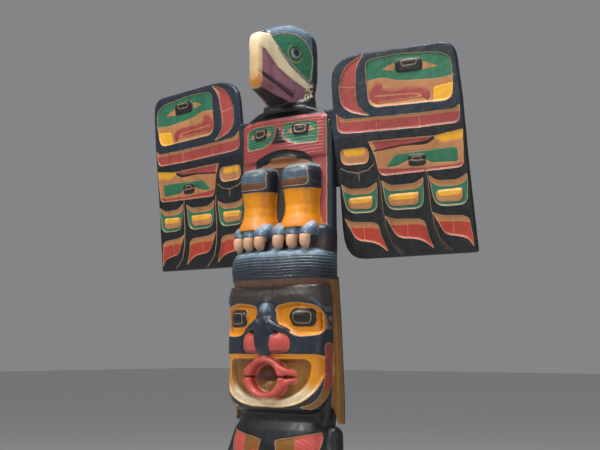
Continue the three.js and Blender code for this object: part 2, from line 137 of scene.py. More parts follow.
def inside(corners, u, v, side=1):
    """How far (u, v) is inside a closed outline; negative outside it."""
    path = outline(corners, side)
    nearest = np.full(np.broadcast(u, v).shape, FAR**2, np.float32)
    crossed = np.zeros(nearest.shape, bool)
    for (au, av), (bu, bv) in zip(path, np.roll(path, -1, axis=0)):
        du, dv = bu - au, bv - av
        length = du * du + dv * dv
        if length < 1e-6:
            continue
        along = np.clip(((u - au) * du + (v - av) * dv) / length, 0, 1)
        nearest = np.minimum(nearest, (u - au - along * du) ** 2 + (v - av - along * dv) ** 2)
        if abs(dv) > 1e-6:
            crossed ^= ((av > v) != (bv > v)) & (u < au + (v - av) * du / dv)
    return np.where(crossed, 1, -1) * np.sqrt(nearest)


def pair(corners, u, v):
    """How far (u, v) is inside an outline or its mirror image."""
    return inside(corners, np.abs(u), v)


def off_line(points, u, v):
    """How far (u, v) is from an open line, negative on its right-hand side."""
    nearest, side = FAR**2, 1
    for (au, av), (bu, bv) in zip(points[:-1], points[1:]):
        du, dv = bu - au, bv - av
        along = np.clip(((u - au) * du + (v - av) * dv) / (du * du + dv * dv), 0, 1)
        off = (u - au - along * du) ** 2 + (v - av - along * dv) ** 2
        side = np.where(off < nearest, np.sign(du * (v - av) - dv * (u - au)), side)
        nearest = np.minimum(nearest, off)
    return side * np.sqrt(nearest)


def loft(rings, widest=0, back=LOG_BACK, x=0, corner=2, back_corner=None, soften=8, ends=10):
    """A body through oval rings, as in the solids: (its distance, its lowest and its highest corner).

    A ring is (height, half width, front), and may have its own (back, widest place) after them.
    """
    rings = [ring if len(ring) > 3 else (*ring, back, widest) for ring in rings]
    heights, halves, fronts, backs, middles = np.array(rings, float).T
    powers = np.float32([corner, back_corner or corner])

    def at(z, values):
        drawn = [np.interp(z + shift, heights, values) for shift in (-soften, 0, soften)]
        return (sum(drawn) / len(drawn)).astype(np.float32)

    def distance(px, y, z):
        half, front, rear, middle = (at(z, values) for values in (halves, fronts, backs, middles))
        ahead = y < middle
        reach = np.where(ahead, middle - front, rear - middle)
        power = np.where(ahead, *powers)
        across = np.abs(px - x) / half
        along = np.abs(y - middle) / reach
        out = np.maximum((across**power + along**power) ** (1 / power), 1e-3)
        steep = np.hypot(across ** (power - 1) / half, along ** (power - 1) / reach) * out ** (1 - power)
        side = (out - 1) / np.maximum(steep, 0.5 / np.maximum(half, reach))
        return smooth_max(side, np.maximum(z - heights[-1], heights[0] - z), ends)

    low = [x - max(halves), min(fronts), heights[0]]
    return distance, low, [x + max(halves), max(backs), heights[-1]]


def ball(centre, radii, turn=0):
    """An ellipsoid, turned about its upright axis by so many degrees."""
    c, s = math.cos(math.radians(turn)), math.sin(math.radians(turn))

    def distance(x, y, z):
        dx, dy, dz = x - centre[0], y - centre[1], z - centre[2]
        p = (c * dx + s * dy) / radii[0], (c * dy - s * dx) / radii[1], dz / radii[2]
        out = np.sqrt(sum(v * v for v in p))
        steep = np.sqrt(sum((v / r) ** 2 for v, r in zip(p, radii)))
        return out * (out - 1) / np.maximum(steep, 1e-4)

    reach = max(radii)
    return distance, [c - reach for c in centre], [c + reach for c in centre]


def limb(points, radii, side=1):
    """A round limb along a smooth line through the points, with a radius at each of them."""
    points = [(side * x, y, z) for x, y, z in points]
    knots = [Vector(p) for p in points]
    knots = [2 * knots[0] - knots[1], *knots, 2 * knots[-1] - knots[-2]]
    path = []
    for i in range(1, len(knots) - 2):
        a, b, c, d = knots[i - 1 : i + 3]
        for t in np.linspace(0, 1, 5)[: 5 if i == len(knots) - 3 else 4]:
            place = 2 * b + (c - a) * t + (2 * a - 5 * b + 4 * c - d) * t * t + (3 * b - a - 3 * c + d) * t**3
            path.append((place / 2, np.interp(i - 1 + t, range(len(radii)), radii)))

    def distance(x, y, z):
        nearest = FAR
        for (a, ra), (b, rb) in zip(path[:-1], path[1:]):
            line = b - a
            span = line.length_squared
            along = np.clip(((x - a.x) * line.x + (y - a.y) * line.y + (z - a.z) * line.z) / span, 0, 1)
            off = [v - start - along * step for v, start, step in zip((x, y, z), a, line)]
            off = np.sqrt(sum(v * v for v in off)) - ra - along * (rb - ra)
            nearest = np.minimum(nearest, off)
        return nearest

    most = max(radii)
    low = [min(p[i] for p in points) - most for i in range(3)]
    high = [max(p[i] for p in points) + most for i in range(3)]
    return distance, low, high


def with_relief(body, depth):
    """The same body with its surface let in by depth(x, y, z)."""
    distance, low, high = body
    return (lambda x, y, z: distance(x, y, z) + depth(x, y, z)), low, high


class Block:
    """A block of space that holds signed distances on a grid."""

    def __init__(self, low, high, step):
        self.low = np.array(low, float)
        self.step = np.array(step, float)
        count = np.ceil((np.array(high) - self.low) / self.step).astype(int) + 1
        self.axes = [np.float32(lo + st * np.arange(n)) for lo, st, n in zip(self.low, self.step, count)]
        self.distance = np.full(count, FAR, np.float32)

    def places(self, cut=(slice(None),) * 3):
        """The places of a part of the grid, as one array for each axis."""
        return np.ix_(*(axis[part] for axis, part in zip(self.axes, cut)))

    def around(self, body):
        """The part of the grid near a body, and the body's distances there."""
        form, low, high = body
        spans = [(lo - NEAR, hi + NEAR) for lo, hi in zip(low, high)]
        cut = tuple(slice(*np.searchsorted(axis, span)) for axis, span in zip(self.axes, spans))
        return cut, form(*self.places(cut))

    def add(self, body, blend=8):
        cut, form = self.around(body)
        self.distance[cut] = smooth_min(self.distance[cut], form, blend)

    def carve(self, body, blend=4):
        cut, form = self.around(body)
        self.distance[cut] = smooth_max(self.distance[cut], -form, blend)

    def surface(self):
        """The wood's surface: corners in millimetres and four-sided faces."""
        solid = self.distance < 0
        cells = np.array(solid.shape) - 1
        places, owners, faces = [], [], []
        for axis in range(3):
            u, v = np.eye(3, dtype=int)[[(axis + 1) % 3, (axis + 2) % 3]]
            one = np.eye(3, dtype=int)[axis]
            inner = solid.take(range(cells[axis]), axis)
            outer = solid.take(range(1, cells[axis] + 1), axis)
            edge = np.argwhere(inner != outer)
            a = self.distance[tuple(edge.T)]
            b = self.distance[tuple((edge + one).T)]
            place = edge + one * (a / (a - b))[:, None]
            around = [np.ravel_multi_index((edge - shift).T, cells) for shift in (u + v, v, 0 * u, u)]
            places += [place] * 4
            owners += around
            quad = np.stack(around, axis=1)
            turned = ~solid[tuple(edge.T)]
            quad[turned] = quad[turned, ::-1]
            faces.append(quad)
        used, owner = np.unique(np.concatenate(owners), return_inverse=True)
        place = np.concatenate(places)
        share = np.bincount(owner)
        corners = np.stack([np.bincount(owner, place[:, i]) / share for i in range(3)], axis=1)
        return corners * self.step + self.low, np.searchsorted(used, np.concatenate(faces))


# ---- the bird
def trunk():
    rings = [
        (LEVEL["shoulder"] - 20, 362, -110), (LEVEL["chin"] + 90, 390, -80),
        (LEVEL["hat_top"], 384, LOG_FRONT), (LEVEL["plate_top"] - 18, 378, LOG_FRONT),
        (LEVEL["plate_top"] + 18, 330, LOG_FRONT), (LEVEL["nape"], 212, -80),
    ]
    return loft(rings, LOG_WIDEST, corner=4, back_corner=3.5)


def neck():
    rings = [
        (LEVEL["nape"] - 20, 206, -92), (LEVEL["nape"] + 40, 202, -84), (LEVEL["nape"] + 90, 194, 0),
        (LEVEL["nape"] + 140, 188, 10),
    ]
    return loft(rings, widest=30, back=62, corner=2.4, back_corner=5)


HEAD_RINGS = [
    (62, 204, 3100, 3588), (44, 213, 3092, 3612), (-20, 192, 3098, 3632), (-90, 161, 3114, 3640),
    (-165, 127, 3138, 3616), (-250, 92, 3164, 3582), (-308, 68, 3182, 3563), (-332, 54, 3212, 3545),
    (-340, 34, 3265, 3500),
]
BEAK_EDGE = [(-345, 3560), (-262, 3548), (-205, 3440), (-130, 3346), (-20, 3252)]
BAND_LOW = [(-345, 3470), (-296, 3440), (-210, 3330), (-110, 3256), (-20, 3206)]
MOUTH_LINE = [(-340, 3296), (-300, 3272), (-200, 3216), (-92, 3160)]
JAW_LOW = [(-345, 3204), (-308, 3196), (-250, 3180), (-165, 3154), (-90, 3130), (-20, 3112), (62, 3112)]
HEAD_PANEL = [
    (-256, 3528, 10), (-160, 3572, 60), (-50, 3548, 90), (22, 3430, 80), (-6, 3250, 10), (-120, 3350, 60),
    (-200, 3442, 60),
]
HEAD_EYE = (-99, 3435)


def above(line, y, z):
    """How far a point of the head's side is above a line across it."""
    return z - np.interp(y, *zip(*line))


def head_relief(x, y, z):
    """The head's carved lines: crown, beak band, mouth and the rim round the eye."""
    crown = np.minimum(above(BEAK_EDGE, y, z), y + 262)
    panel = inside(HEAD_PANEL, y, z)
    band = np.minimum(above(BAND_LOW, y, z), -above(BEAK_EDGE, y, z))
    side = ramp(np.abs(x), 28, 60)
    eye = np.hypot((y - HEAD_EYE[0]) / 0.8, z - HEAD_EYE[1])
    adze = 2.4 * ripple(1.5 * x, y, 2.5 * z, 34) * ramp(crown, 0, 20)
    depth = sunk(panel, 4, 8) + groove(above(BEAK_EDGE, y, z), 10, 4) - 5 * ramp(crown, -8, 8) + adze
    mouth = groove(above(MOUTH_LINE, y, z) - 4, 26, 14) * (y < -88)
    depth += side * (sunk(-band, 7, 8) * (crown < 0) + mouth)
    return depth + side * (groove(eye - 40, 8, 3) - 7 * ramp(-eye, -38, -12))


def head():
    rings = [(-y, half, low, high, (low + high) / 2) for y, half, low, high in HEAD_RINGS]
    side_on, low, high = loft(rings, soften=12, corner=4.5)
    return (
        lambda x, y, z: side_on(x, z, -y) + head_relief(x, y, z) + 5,
        [low[0], -high[2], low[1]],
        [high[0], -low[2], high[1]],
    )


PATCH = [(30, 2992, 30), (215, 3000, 40), (298, 2980, 25), (300, 2850, 30), (120, 2852, 50), (42, 2900, 30)]
CHEST_EYE = [(100, 2986, 26), (238, 2982, 26), (228, 2903, 30), (112, 2906, 30)]
CHEST_PUPIL = [(124, 2972, 14), (214, 2970, 14), (206, 2928, 16), (132, 2930, 16)]
CHEST_NOSE = [(-13, 2970), (13, 2970), (24, 2922, 10), (62, 2868), (-62, 2868), (-24, 2922, 10)]
ARCH = [
    (-266, 2706), (-214, 2774, 40), (0, 2838, 160), (214, 2792, 40), (266, 2714), (214, 2743, 40),
    (0, 2788, 160), (-214, 2726, 40),
]


def off_row(x, z):
    """How far a point of the chest is from the middle of its row of adze cuts."""
    return (z + 3 * np.sin(x / 70)) % CHEST_PITCH - CHEST_PITCH / 2


def plate(x, y, z):
    """The chest plate and, set back below its mouth, the wood behind the legs."""
    bow = 1 - (x / 350) ** 2
    chest = -46 - 44 * bow
    belly = -26 - 22 * bow
    patches, eyes, pupils = (pair(corners, x, z) for corners in (PATCH, CHEST_EYE, CHEST_PUPIL))
    arch, nose = inside(ARCH, x, z), inside(CHEST_NOSE, x, z)
    adze = 2.2 * (off_row(x, z) / (CHEST_PITCH / 2)) ** 2 * ramp(-arch, 0, 12)
    chest = chest + adze + sunk(patches, 6) - 8 * ramp(eyes, 0, 8) + groove(pupils, 9, 3) + sunk(arch, 15, 10)
    chest = chest - 4 * ramp(nose, 0, 6)
    below = ramp(z, 2752, 2770)
    front = belly + (chest - belly) * below
    shoulder = 3035 - 22 / 155 * np.maximum(np.abs(x) - 205, 0)
    return smooth_max(front - y, np.maximum(np.abs(x) - 350, z - shoulder), 8)


LEG_RINGS = [
    (2285, 152, -192), (2328, 142, -184), (2390, 121, -160), (2450, 116, -152),
    (LEVEL["shin_top"] - 4, 126, -162), (LEVEL["shin_top"] + 4, 136, -172), (LEVEL["knee"] + 20, 136, -176),
    (LEVEL["knee"] + 56, 120, -160), (LEVEL["knee"] + 76, 82, -124),
]
KNEE_PANEL = [(68, 2690, 30), (276, 2690, 30), (284, 2568, 34), (68, 2568, 34)]


def leg(side):
    def carved(x, y, z):
        return groove(inside(KNEE_PANEL, x, z, side), 10, 4) + groove(z - LEVEL["shin_top"], 8, 3)

    rings = loft(LEG_RINGS, soften=3, ends=30, x=side * 176, widest=-38, back=10, corner=2.5)
    return with_relief(rings, carved)


TOES = [(78, 10), (180, 22), (276, 36)]


def toe(x, forward):
    rings = [
        (2244, 46, forward - 202), (2262, 56, forward - 212), (2306, 56, forward - 202),
        (2342, 44, forward - 156),
    ]
    return loft(rings, widest=forward - 150, back=-80, x=x, corner=2.8, ends=20)


def claw(x, forward):
    knuckles = ((150, 2256), (188, 2246), (194, 2212), (184, 2182))
    return limb([(x, forward - ahead, z) for ahead, z in knuckles], [34, 38, 36, 24])


def roost():
    rings = [
        (LEVEL["hat_top"] - 15, 384, -150), (LEVEL["roost"] - 70, 386, -138),
        (LEVEL["roost"] - 20, 382, -124), (LEVEL["roost"] + 2, 358, -105),
    ]
    return loft(rings, LOG_WIDEST, corner=3.2, back_corner=3.5)


# ---- the lower figure
def up_hat(x, z):
    """How far a point is up the hat's rings, which waver a little from level."""
    return z + 2 * np.sin(x / 60) - LEVEL["hat_rim"]


def hat():
    low, high = LEVEL["hat_rim"], LEVEL["hat_top"] - 25
    rings = [
        (LEVEL["hat_under"], 372, -198), (low - 12, 380, -220), (low, 386, -228), (low + 60, 394, -238),
        (high - 20, 388, -230), (LEVEL["hat_top"] - 10, 370, -205), (LEVEL["hat_top"], 346, -178),
    ]

    def ringed(x, y, z):
        wave = 0.5 - 0.5 * np.cos(2 * math.pi * up_hat(x, z) / HAT_PITCH)
        return (7 - 7 * wave) * ramp(z, low + 4, low + 12) * ramp(-z, -high - 8, -high) * ramp(-y, -60, -20)

    return with_relief(loft(rings, widest=-25, corner=2.6, back_corner=4), ringed)


SOCKET = [(72, 1812, 40), (230, 1838, 60), (388, 1810, 60), (392, 1632, 40), (230, 1622, 60), (94, 1700, 50)]
EYE = [(178, 1798, 44), (354, 1796, 44), (350, 1680, 44), (182, 1684, 44)]
PUPIL = [(210, 1774, 24), (328, 1772, 24), (324, 1704, 26), (214, 1706, 26)]
CHEEKS = [
    (-397, 1514, 40), (397, 1514, 40), (404, 1400, 120), (350, 1262, 90), (190, 1188, 120),
    (-190, 1188, 120), (-350, 1262, 90), (-404, 1400, 120),
]
RECESS = [
    (-330, 1486, 60), (330, 1486, 60), (334, 1390, 90), (282, 1286, 90), (165, 1226, 90), (-165, 1226, 90),
    (-282, 1286, 90), (-334, 1390, 90),
]
HOOK = [
    (-112, 1582, 34), (-32, 1582, 34), (-20, 1406, 70), (-50, 1286, 60), (-130, 1206, 60), (-215, 1176, 30),
    (-296, 1190), (-215, 1208, 40), (-140, 1266, 50), (-98, 1400, 70),
]
HEAD_BLOCK = [
    (LEVEL["chin"] - 4, 300, -150), (LEVEL["chin"] + 28, 346, -196), (LEVEL["chin"] + 110, 384, -216),
    (LEVEL["mouth"], FACE_WIDTH, -218), (LEVEL["cheek"], FACE_WIDTH, -214), (LEVEL["socket"], 396, -208),
    (LEVEL["brow"], 392, -206), (LEVEL["hat_under"] + 20, 380, -200),
]


def face_relief(x, y, z):
    socket, eye, pupil = pair(SOCKET, x, z), pair(EYE, x, z), pair(PUPIL, x, z)
    cheeks, recess = inside(CHEEKS, x, z), inside(RECESS, x, z)
    brow = ramp(z, LEVEL["brow"] - 14, LEVEL["brow"] + 4) * ramp(-z, -LEVEL["hat_under"], -LEVEL["brow"] - 30)
    depth = sunk(socket, 26, 22) + groove(socket, 9, 3) - 10 * ramp(eye, -2, 10) + groove(pupil, 8, 3)
    depth += sunk(cheeks, 12, 16) + sunk(recess, 24, 26) + groove(cheeks, 8, 3) - 7 * brow
    return depth + groove(np.abs(x) - 39, 9, 3) * (z > LEVEL["brow"] + 8)


def head_block():
    block = loft(HEAD_BLOCK, ends=24, widest=-75, back=20, corner=3, back_corner=5)
    return with_relief(block, lambda x, y, z: face_relief(x, y, z) * ramp(-y, -10, 30))


def eyeball(side):
    return ball((side * 266, -150, LEVEL["eye"]), (100, 40, 60), side * 20)


def nose():
    rings = [
        (1494, 40, -230), (1515, 60, -248), (LEVEL["nostril"], 82, -264), (LEVEL["nostril"] + 70, 96, -264),
        (1715, 78, -256), (1790, 56, -244), (1822, 46, -228), (LEVEL["brow"] + 6, 30, -204),
    ]
    return loft(rings, soften=18, ends=24, widest=-160, back=-120, corner=2.3)


NOSTRIL = [(50, 1524), (188, 1534, 16), (190, 1612, 40), (146, 1646, 40), (86, 1640, 40), (50, 1590)]


def nostril(side):
    bulb, low, high = ball((side * 118, -190, LEVEL["nostril"]), (88, 58, 82), side * 22)
    return (lambda x, y, z: smooth_max(bulb(x, y, z), -inside(NOSTRIL, x, z, side), 14)), low, high


def nose_wing(side):
    points = [(52, -236, 1706), (110, -228, 1678), (166, -200, 1648), (200, -168, 1590)]
    return limb(points, [26, 22, 18, 12], side)


def lips():
    def ring(x, y, z):
        out = np.hypot(x / 1.14, (z - LEVEL["mouth"]) / 0.97) - 117
        square = (np.abs(out) ** 2.6 + np.abs((y + 206) / 1.7) ** 2.6) ** (1 / 2.6)
        return square - 22 + groove(z - LEVEL["lips_meet"], 22, 12) * ramp(np.abs(x), 90, 110)

    return ring, (-160, -255, 1210), (160, -150, 1520)


def lip_corner(side):
    """The two lips drawn out to a point at one side of the mouth."""
    meet = LEVEL["lips_meet"]
    upper = ((124, -222, meet + 52), (166, -206, meet + 30), (212, -160, meet + 17))
    lower = ((124, -220, meet - 62), (166, -204, meet - 32), (210, -160, meet - 17))
    return [limb(line, [20, 20, 14], side) for line in (upper, lower)]


def tongue():
    """The rounded form left standing inside the mouth."""
    return ball((0, -150, 1322), (56, 30, 36))


def hood(side):
    rings = [(1060, 434, -30), (1250, 432, -34), (1700, 410, -26), (LEVEL["hat_rim"] + 20, 388, -60)]
    rim = LEVEL["hat_rim"] + 10
    hanging = [(300, rim), (470, rim), (470, 1120), (424, 1078, 20), (366, 1250, 60), (350, 1400)]
    flare, low, high = loft(rings, widest=20, corner=6, back_corner=4)
    return (lambda x, y, z: smooth_max(flare(x, y, z), -inside(hanging, x, z, side), 8)), low, high


CHEST_PATCH = [(58, 984, 12), (368, 1040, 12), (352, 900, 60), (250, 866, 60), (78, 884, 50)]
BELLY_PANEL = [(-66, 640, 30), (66, 640, 30), (84, 470, 50), (0, 400, 60), (-84, 470, 50)]


def torso():
    rings = [
        (BASE_HEIGHT - 10, 390, -150), (420, 378, -205), (LEVEL["elbow"] + 80, 376, -212),
        (LEVEL["chest"], 384, -196), (LEVEL["shoulder"], 374, -168), (LEVEL["neck"] - 20, 342, -140),
        (LEVEL["neck"] + 50, 334, -140),
    ]

    def carved(x, y, z):
        patch, panel = pair(CHEST_PATCH, x, z), inside(BELLY_PANEL, x, z)
        hatch = groove((np.abs(x) * 0.5 + z) % 26 - 13, 12, 3)
        hatch = hatch * ramp(patch, 8, 16) * ramp(np.abs(x), 200, 215)
        return (sunk(patch, 6) + hatch + sunk(panel, 6)) * ramp(-y, 60, 100)

    return with_relief(loft(rings, widest=-20, corner=2.8, back_corner=3.5), carved)


def arm(side):
    upper = [(372, 0, 1015), (396, -40, 880), (384, -130, 730)]
    lower = [(318, -205, 655), (215, -238, 700), (120, -236, 770)]
    return limb(upper + lower, [60, 60, 60, 58, 52, 42], side)


def hand(side):
    at = LEVEL["hands"]
    rings = [(at - 60, 44, -240), (at - 20, 74, -264), (at + 60, 78, -258), (at + 112, 62, -240)]

    def fingers(x, y, z):
        across = np.abs(x) - 104
        between = np.minimum(np.abs(across), np.abs(np.abs(across) - 38))
        return groove(between, 16, 12) * ramp(z, at + 2, at + 22)

    body = loft(rings, ends=24, x=side * 104, widest=-214, back=-180, corner=3)
    return with_relief(body, fingers)


SQUAT_PANEL = [(176, 548, 26), (324, 548, 26), (318, 452, 30), (182, 452, 30)]


def squat_leg(side):
    rings = [
        (BASE_HEIGHT - 5, 84, -275), (240, 80, -268), (380, 96, -296), (500, 110, -318), (560, 92, -300),
        (LEVEL["knee_cap"], 56, -262),
    ]
    body = loft(rings, ends=30, x=side * 250, widest=-190, back=-60, corner=2.3)
    return with_relief(body, lambda x, y, z: groove(pair(SQUAT_PANEL, x, z), 10, 4) + groove(z - 420, 8, 3))


def squat_foot(side):
    rings = [(BASE_HEIGHT - 5, 106, -372), (BASE_HEIGHT + 34, 106, -366), (BASE_HEIGHT + 66, 88, -320)]

    def toes(x, y, z):
        return groove(np.abs(np.abs(x) - 250) - 34, 18, 12) * ramp(-y, 300, 325)

    return with_relief(loft(rings, ends=20, x=side * 250, widest=-240, back=-200, corner=3), toes)


def base():
    rings = [(0, 438, -398), (BASE_HEIGHT - 12, 438, -398), (BASE_HEIGHT, 428, -388)]
    return loft(rings, soften=2, ends=8, widest=-40, back=85, corner=2.6, back_corner=5)


# ---- the wings
# A wing is drawn in its own plane: u runs out from the log's centre line, v up from the root's height,
# and w stands out from its front face.
WING_OUTLINE = [
    (330, -66), (400, -66), (401, -530, 190), (700, -531), (1326, -528, 16), (1303, 0), (1293, 400),
    (1270, 724, 100), (900, 737), (392, 752, 270, 200), (390, 428), (330, 428),
]
TOP_PANEL = [
    (650, 694, 60), (880, 702), (1140, 674, 30), (1246, 642, 80), (1248, 500), (1236, 378, 60),
    (660, 400, 70),
]
TOP_GREEN = [
    (600, 720), (1300, 720), (1300, 526), (1142, 514, 40), (943, 531, 60), (862, 541, 30), (781, 570, 30),
    (707, 571, 30), (600, 552),
]
TOP_EYE = [(862, 668, 34), (1052, 656, 34), (1046, 576, 34), (866, 584, 34)]
TOP_PUPIL = [(904, 656, 12), (1014, 655, 12), (1010, 622, 18), (910, 624, 18)]
TOP_TAIL_IN = [(762, 622), (858, 652), (852, 600)]
TOP_TAIL_OUT = [(1160, 588), (1052, 634), (1048, 582)]
RED_TONGUE = [
    (664, 500, 30), (720, 548, 30), (766, 530, 16), (760, 500, 10), (826, 486, 30), (1031, 486, 50),
    (1098, 440, 30), (1070, 386, 20), (1044, 414, 20), (720, 414, 30), (664, 440, 30),
]
TONGUE_LOW = [(700, 470, 10), (855, 460), (1020, 446, 20), (1034, 420, 12), (720, 420, 20)]
TONGUE_MIDDLE = [(690, 462, 10), (900, 450, 20), (1012, 438, 10), (1000, 426, 10), (720, 428, 10)]
TOP_YELLOW = [(1112, 470, 12), (1248, 482), (1236, 398), (1171, 378, 20), (1108, 384, 10)]
STRIP = [
    (640, 730), (585, 665, 30), (572, 560), (566, 460, 30), (592, 400, 30), (657, 353), (530, 384, 50),
    (452, 440, 60), (450, 590, 60), (520, 690, 40),
]
BAND = [
    (416, 386), (462, 350, 30), (690, 337), (1007, 326), (1240, 322, 30), (1281, 347), (1272, 240, 40),
    (1000, 241), (486, 261, 30), (414, 275, 45),
]
BAND_TAN = [
    (416, 390), (462, 354, 30), (690, 341), (1007, 330), (1240, 326, 30), (1290, 352), (1272, 306),
    (1006, 308), (686, 321), (440, 330, 20),
]
MIDDLE = [(638, 193), (870, 187), (1085, 178), (1288, 198), (1279, -22, 40), (706, -26, 40), (672, 120, 30)]
MIDDLE_RED = [(660, 190), (870, 184), (1080, 175, 8), (1052, 156, 12), (870, 150), (690, 136, 8)]
MIDDLE_BAR = [
    (660, 124), (870, 140), (1040, 134, 20), (1088, 158), (1094, 182), (1076, 176, 10), (1048, 156, 12),
    (870, 151), (672, 136),
]
MIDDLE_YELLOW = [(1092, 178), (1288, 198), (1284, 146), (1200, 140), (1146, 138, 20), (1098, 164, 20)]
MIDDLE_GREEN = [
    (742, 20, 14), (818, 96, 20), (908, 98), (1246, 103, 30), (1244, 12, 20), (1063, 21, 14),
    (1034, 41, 20), (904, 54, 30), (840, 25, 20),
]
MIDDLE_LOW = [(690, 22), (850, 6, 30), (1030, -4), (1227, -2, 20), (1282, 12), (1282, -30), (690, -30)]
MIDDLE_EYE = [(904, 84, 24), (1030, 80, 24), (1026, 10, 24), (908, 12, 24)]
MIDDLE_PUPIL = [(936, 70, 10), (1000, 68, 10), (996, 44, 12), (940, 46, 12)]
KNUCKLE = [(424, 165, 40), (636, 158, 44), (630, 58, 50), (428, 66, 50)]
KNUCKLE_YELLOW = [(448, 160, 16), (606, 154, 16), (602, 116, 24), (448, 120, 24)]
KNUCKLE_ARC = [(416, 50), (466, 24), (541, 8), (618, 19), (672, 56)]
KNUCKLE_STEM = [(548, 8), (553, -48)]
CUT_LINE = [(0, -20), (10, -90), (14, -225), (30, -342), (64, -440), (146, -518)]


def feather_u(start, end):
    return [
        (start, -56), (start + 60, -92, 30), (end - 60, -94, 30), (end, -64), (end - 8, -243, 60),
        (start + 28, -240, 70),
    ]


def feather_crescent(start, end):
    return [
        (start, -54), (start + 60, -92, 30), (end - 60, -94, 30), (end, -62), (end - 14, -104, 30),
        (end - 60, -126, 30), (start + 60, -124, 30), (start + 12, -98, 20),
    ]


def feather_oval(start, end):
    return [(start + 30, -148, 26), (end - 28, -146, 26), (end - 40, -226, 40), (start + 40, -222, 44)]


def feather_yellow(start, end):
    return [(start + 52, -146, 8), (end - 42, -144, 8), (end - 52, -182, 16), (start + 58, -180, 16)]


def feather_tip(start, end, tip):
    return [
        (start + 8, -274), (start + 72, -298, 25), (end - 38, -308, 25), (end - 6, -328, 15),
        (end + 2, -385, 20), (tip, -488), (end - 24, -438, 30), (end - 90, -422, 30),
        (start + 85, -412, 50),
    ]


def feather_tip_tan(start, end):
    return [
        (start + 8, -270), (start + 72, -294, 25), (end - 38, -304, 25), (end - 2, -324, 15),
        (end - 4, -352, 10), (end - 60, -338, 30), (start + 60, -334, 30), (start + 24, -326, 10),
    ]


def fields():
    """The outlines let into a wing's face."""
    roots = [feather_u(start, end) for start, end, tip in FEATHERS]
    tips = [feather_tip(*feather) for feather in FEATHERS]
    return [TOP_PANEL, STRIP, BAND, MIDDLE, KNUCKLE, *roots, *tips]


INCISED = (TOP_PUPIL, MIDDLE_PUPIL, MIDDLE_GREEN, RED_TONGUE, TOP_YELLOW, MIDDLE_YELLOW, KNUCKLE_YELLOW)


def wing_relief(u, v):
    """How far a wing's face is let in."""
    field = np.full(np.broadcast(u, v).shape, -FAR, np.float32)
    for corners in fields():
        field = np.maximum(field, inside(corners, u, v))
    eyes = np.maximum(inside(TOP_EYE, u, v), inside(MIDDLE_EYE, u, v))
    for start, end, tip in FEATHERS:
        eyes = np.maximum(eyes, inside(feather_oval(start, end), u, v))
    depth = sunk(field, 7, 8) - 6 * ramp(eyes, -2, 8)
    for corners in INCISED:
        depth = depth + groove(inside(corners, u, v), 9, 2.5)
    for at in FEATHER_CUTS:
        depth = np.maximum(depth, groove(off_line([(at + du, dv) for du, dv in CUT_LINE], u, v), 16, 9))
    for line in (KNUCKLE_ARC, KNUCKLE_STEM):
        depth = depth + groove(off_line(line, u, v), 10, 3)
    return depth + 0.6 * ripple(2 * u, 0, v, 60)


def wing_block():
    block = Block((322, -540, -WING["thickness"] - 14), (1334, 760, 14), WING_GRID)
    u, v, w = block.places()
    edge = -inside(WING_OUTLINE, u, v)
    face = smooth_max(w + wing_relief(u, v), -WING["thickness"] - w, 4)
    block.distance[:] = smooth_max(edge, face, 9)
    return block


def wing_stand(side):
    """Stands a wing's drawing up, swept back and leaning forward."""
    lean = Matrix.Rotation(math.radians(90 + WING["lean"]), 4, "X")
    sweep = Matrix.Rotation(math.radians(side * WING["sweep"]), 4, "Z")
    return Matrix.Translation((0, 0, WING["height"])) @ sweep @ lean


def mortise(side):
    """The slot in the log for a wing's root."""
    to_wing = np.array(wing_stand(side).inverted())
    margin = 1.0
    open_end = TENON["to"] + 40
    half = WING["thickness"] / 2

    def distance(x, y, z):
        along, up, out = (row[0] * x + row[1] * y + row[2] * z + row[3] for row in to_wing[:3])
        level = np.maximum(TENON["bottom"] - margin - up, up - TENON["top"] - margin)
        across = np.maximum(TENON["from"] - margin - side * along, side * along - open_end)
        return np.maximum(np.maximum(level, across), np.abs(out + half) - half - margin)

    reach = sorted((side * TENON["from"], side * open_end))
    low = (reach[0], -80, WING["height"] + TENON["bottom"] - 20)
    return distance, low, (reach[1], 100, WING["height"] + TENON["top"] + 20)


# ---- the whole log
def pole_block():
    block = Block((-472, -414, -12), (472, 98, 3656), POLE_GRID)
    block.add(trunk())
    block.add(neck(), 20)
    block.add((plate, (-352, -100, 2210), (352, 0, 3040)), 4)
    block.add(head(), 10)
    block.add(roost(), 6)
    for side in SIDES:
        block.add(leg(side), 10)
    for side in SIDES:
        for x, forward in TOES:
            block.add(toe(side * x, forward), 5)
            block.add(claw(side * x, forward), 3)
    block.add(torso())
    for part in (arm, squat_leg, squat_foot, hand):
        for side in SIDES:
            block.add(part(side), 5)
    block.add(base(), 4)
    block.add(head_block(), 6)
    block.carve(ball((0, -225, LEVEL["mouth"]), (108, 100, 90)))
    for side in SIDES:
        block.add(eyeball(side), 6)
        block.add(nostril(side), 5)
        block.add(nose_wing(side), 20)
        for lip in lip_corner(side):
            block.add(lip, 5)
    block.add(nose(), 34)
    block.add(lips(), 8)
    block.add(tongue(), 10)
    block.carve(ball((0, -250, LEVEL["mouth"]), (100, 114, 84)), 6)
    block.add(hat(), 5)
    for side in SIDES:
        block.add(hood(side), 6)
        block.carve(mortise(side), 1)
    x, y, z = block.places()
    adzed = 1.4 * ripple(x, 0, 1.6 * z, 90) * ramp(y, 55, 70) + 0.7 * ripple(x, y, z, 50)
    block.distance += adzed * ramp(z, 100, 130)
    block.distance = np.maximum(block.distance, -z)
    return block


def in_scene(name, data):
    """A new object, linked to the scene."""
    made = bpy.data.objects.new(name, data)
    bpy.context.scene.collection.objects.link(made)
    return made


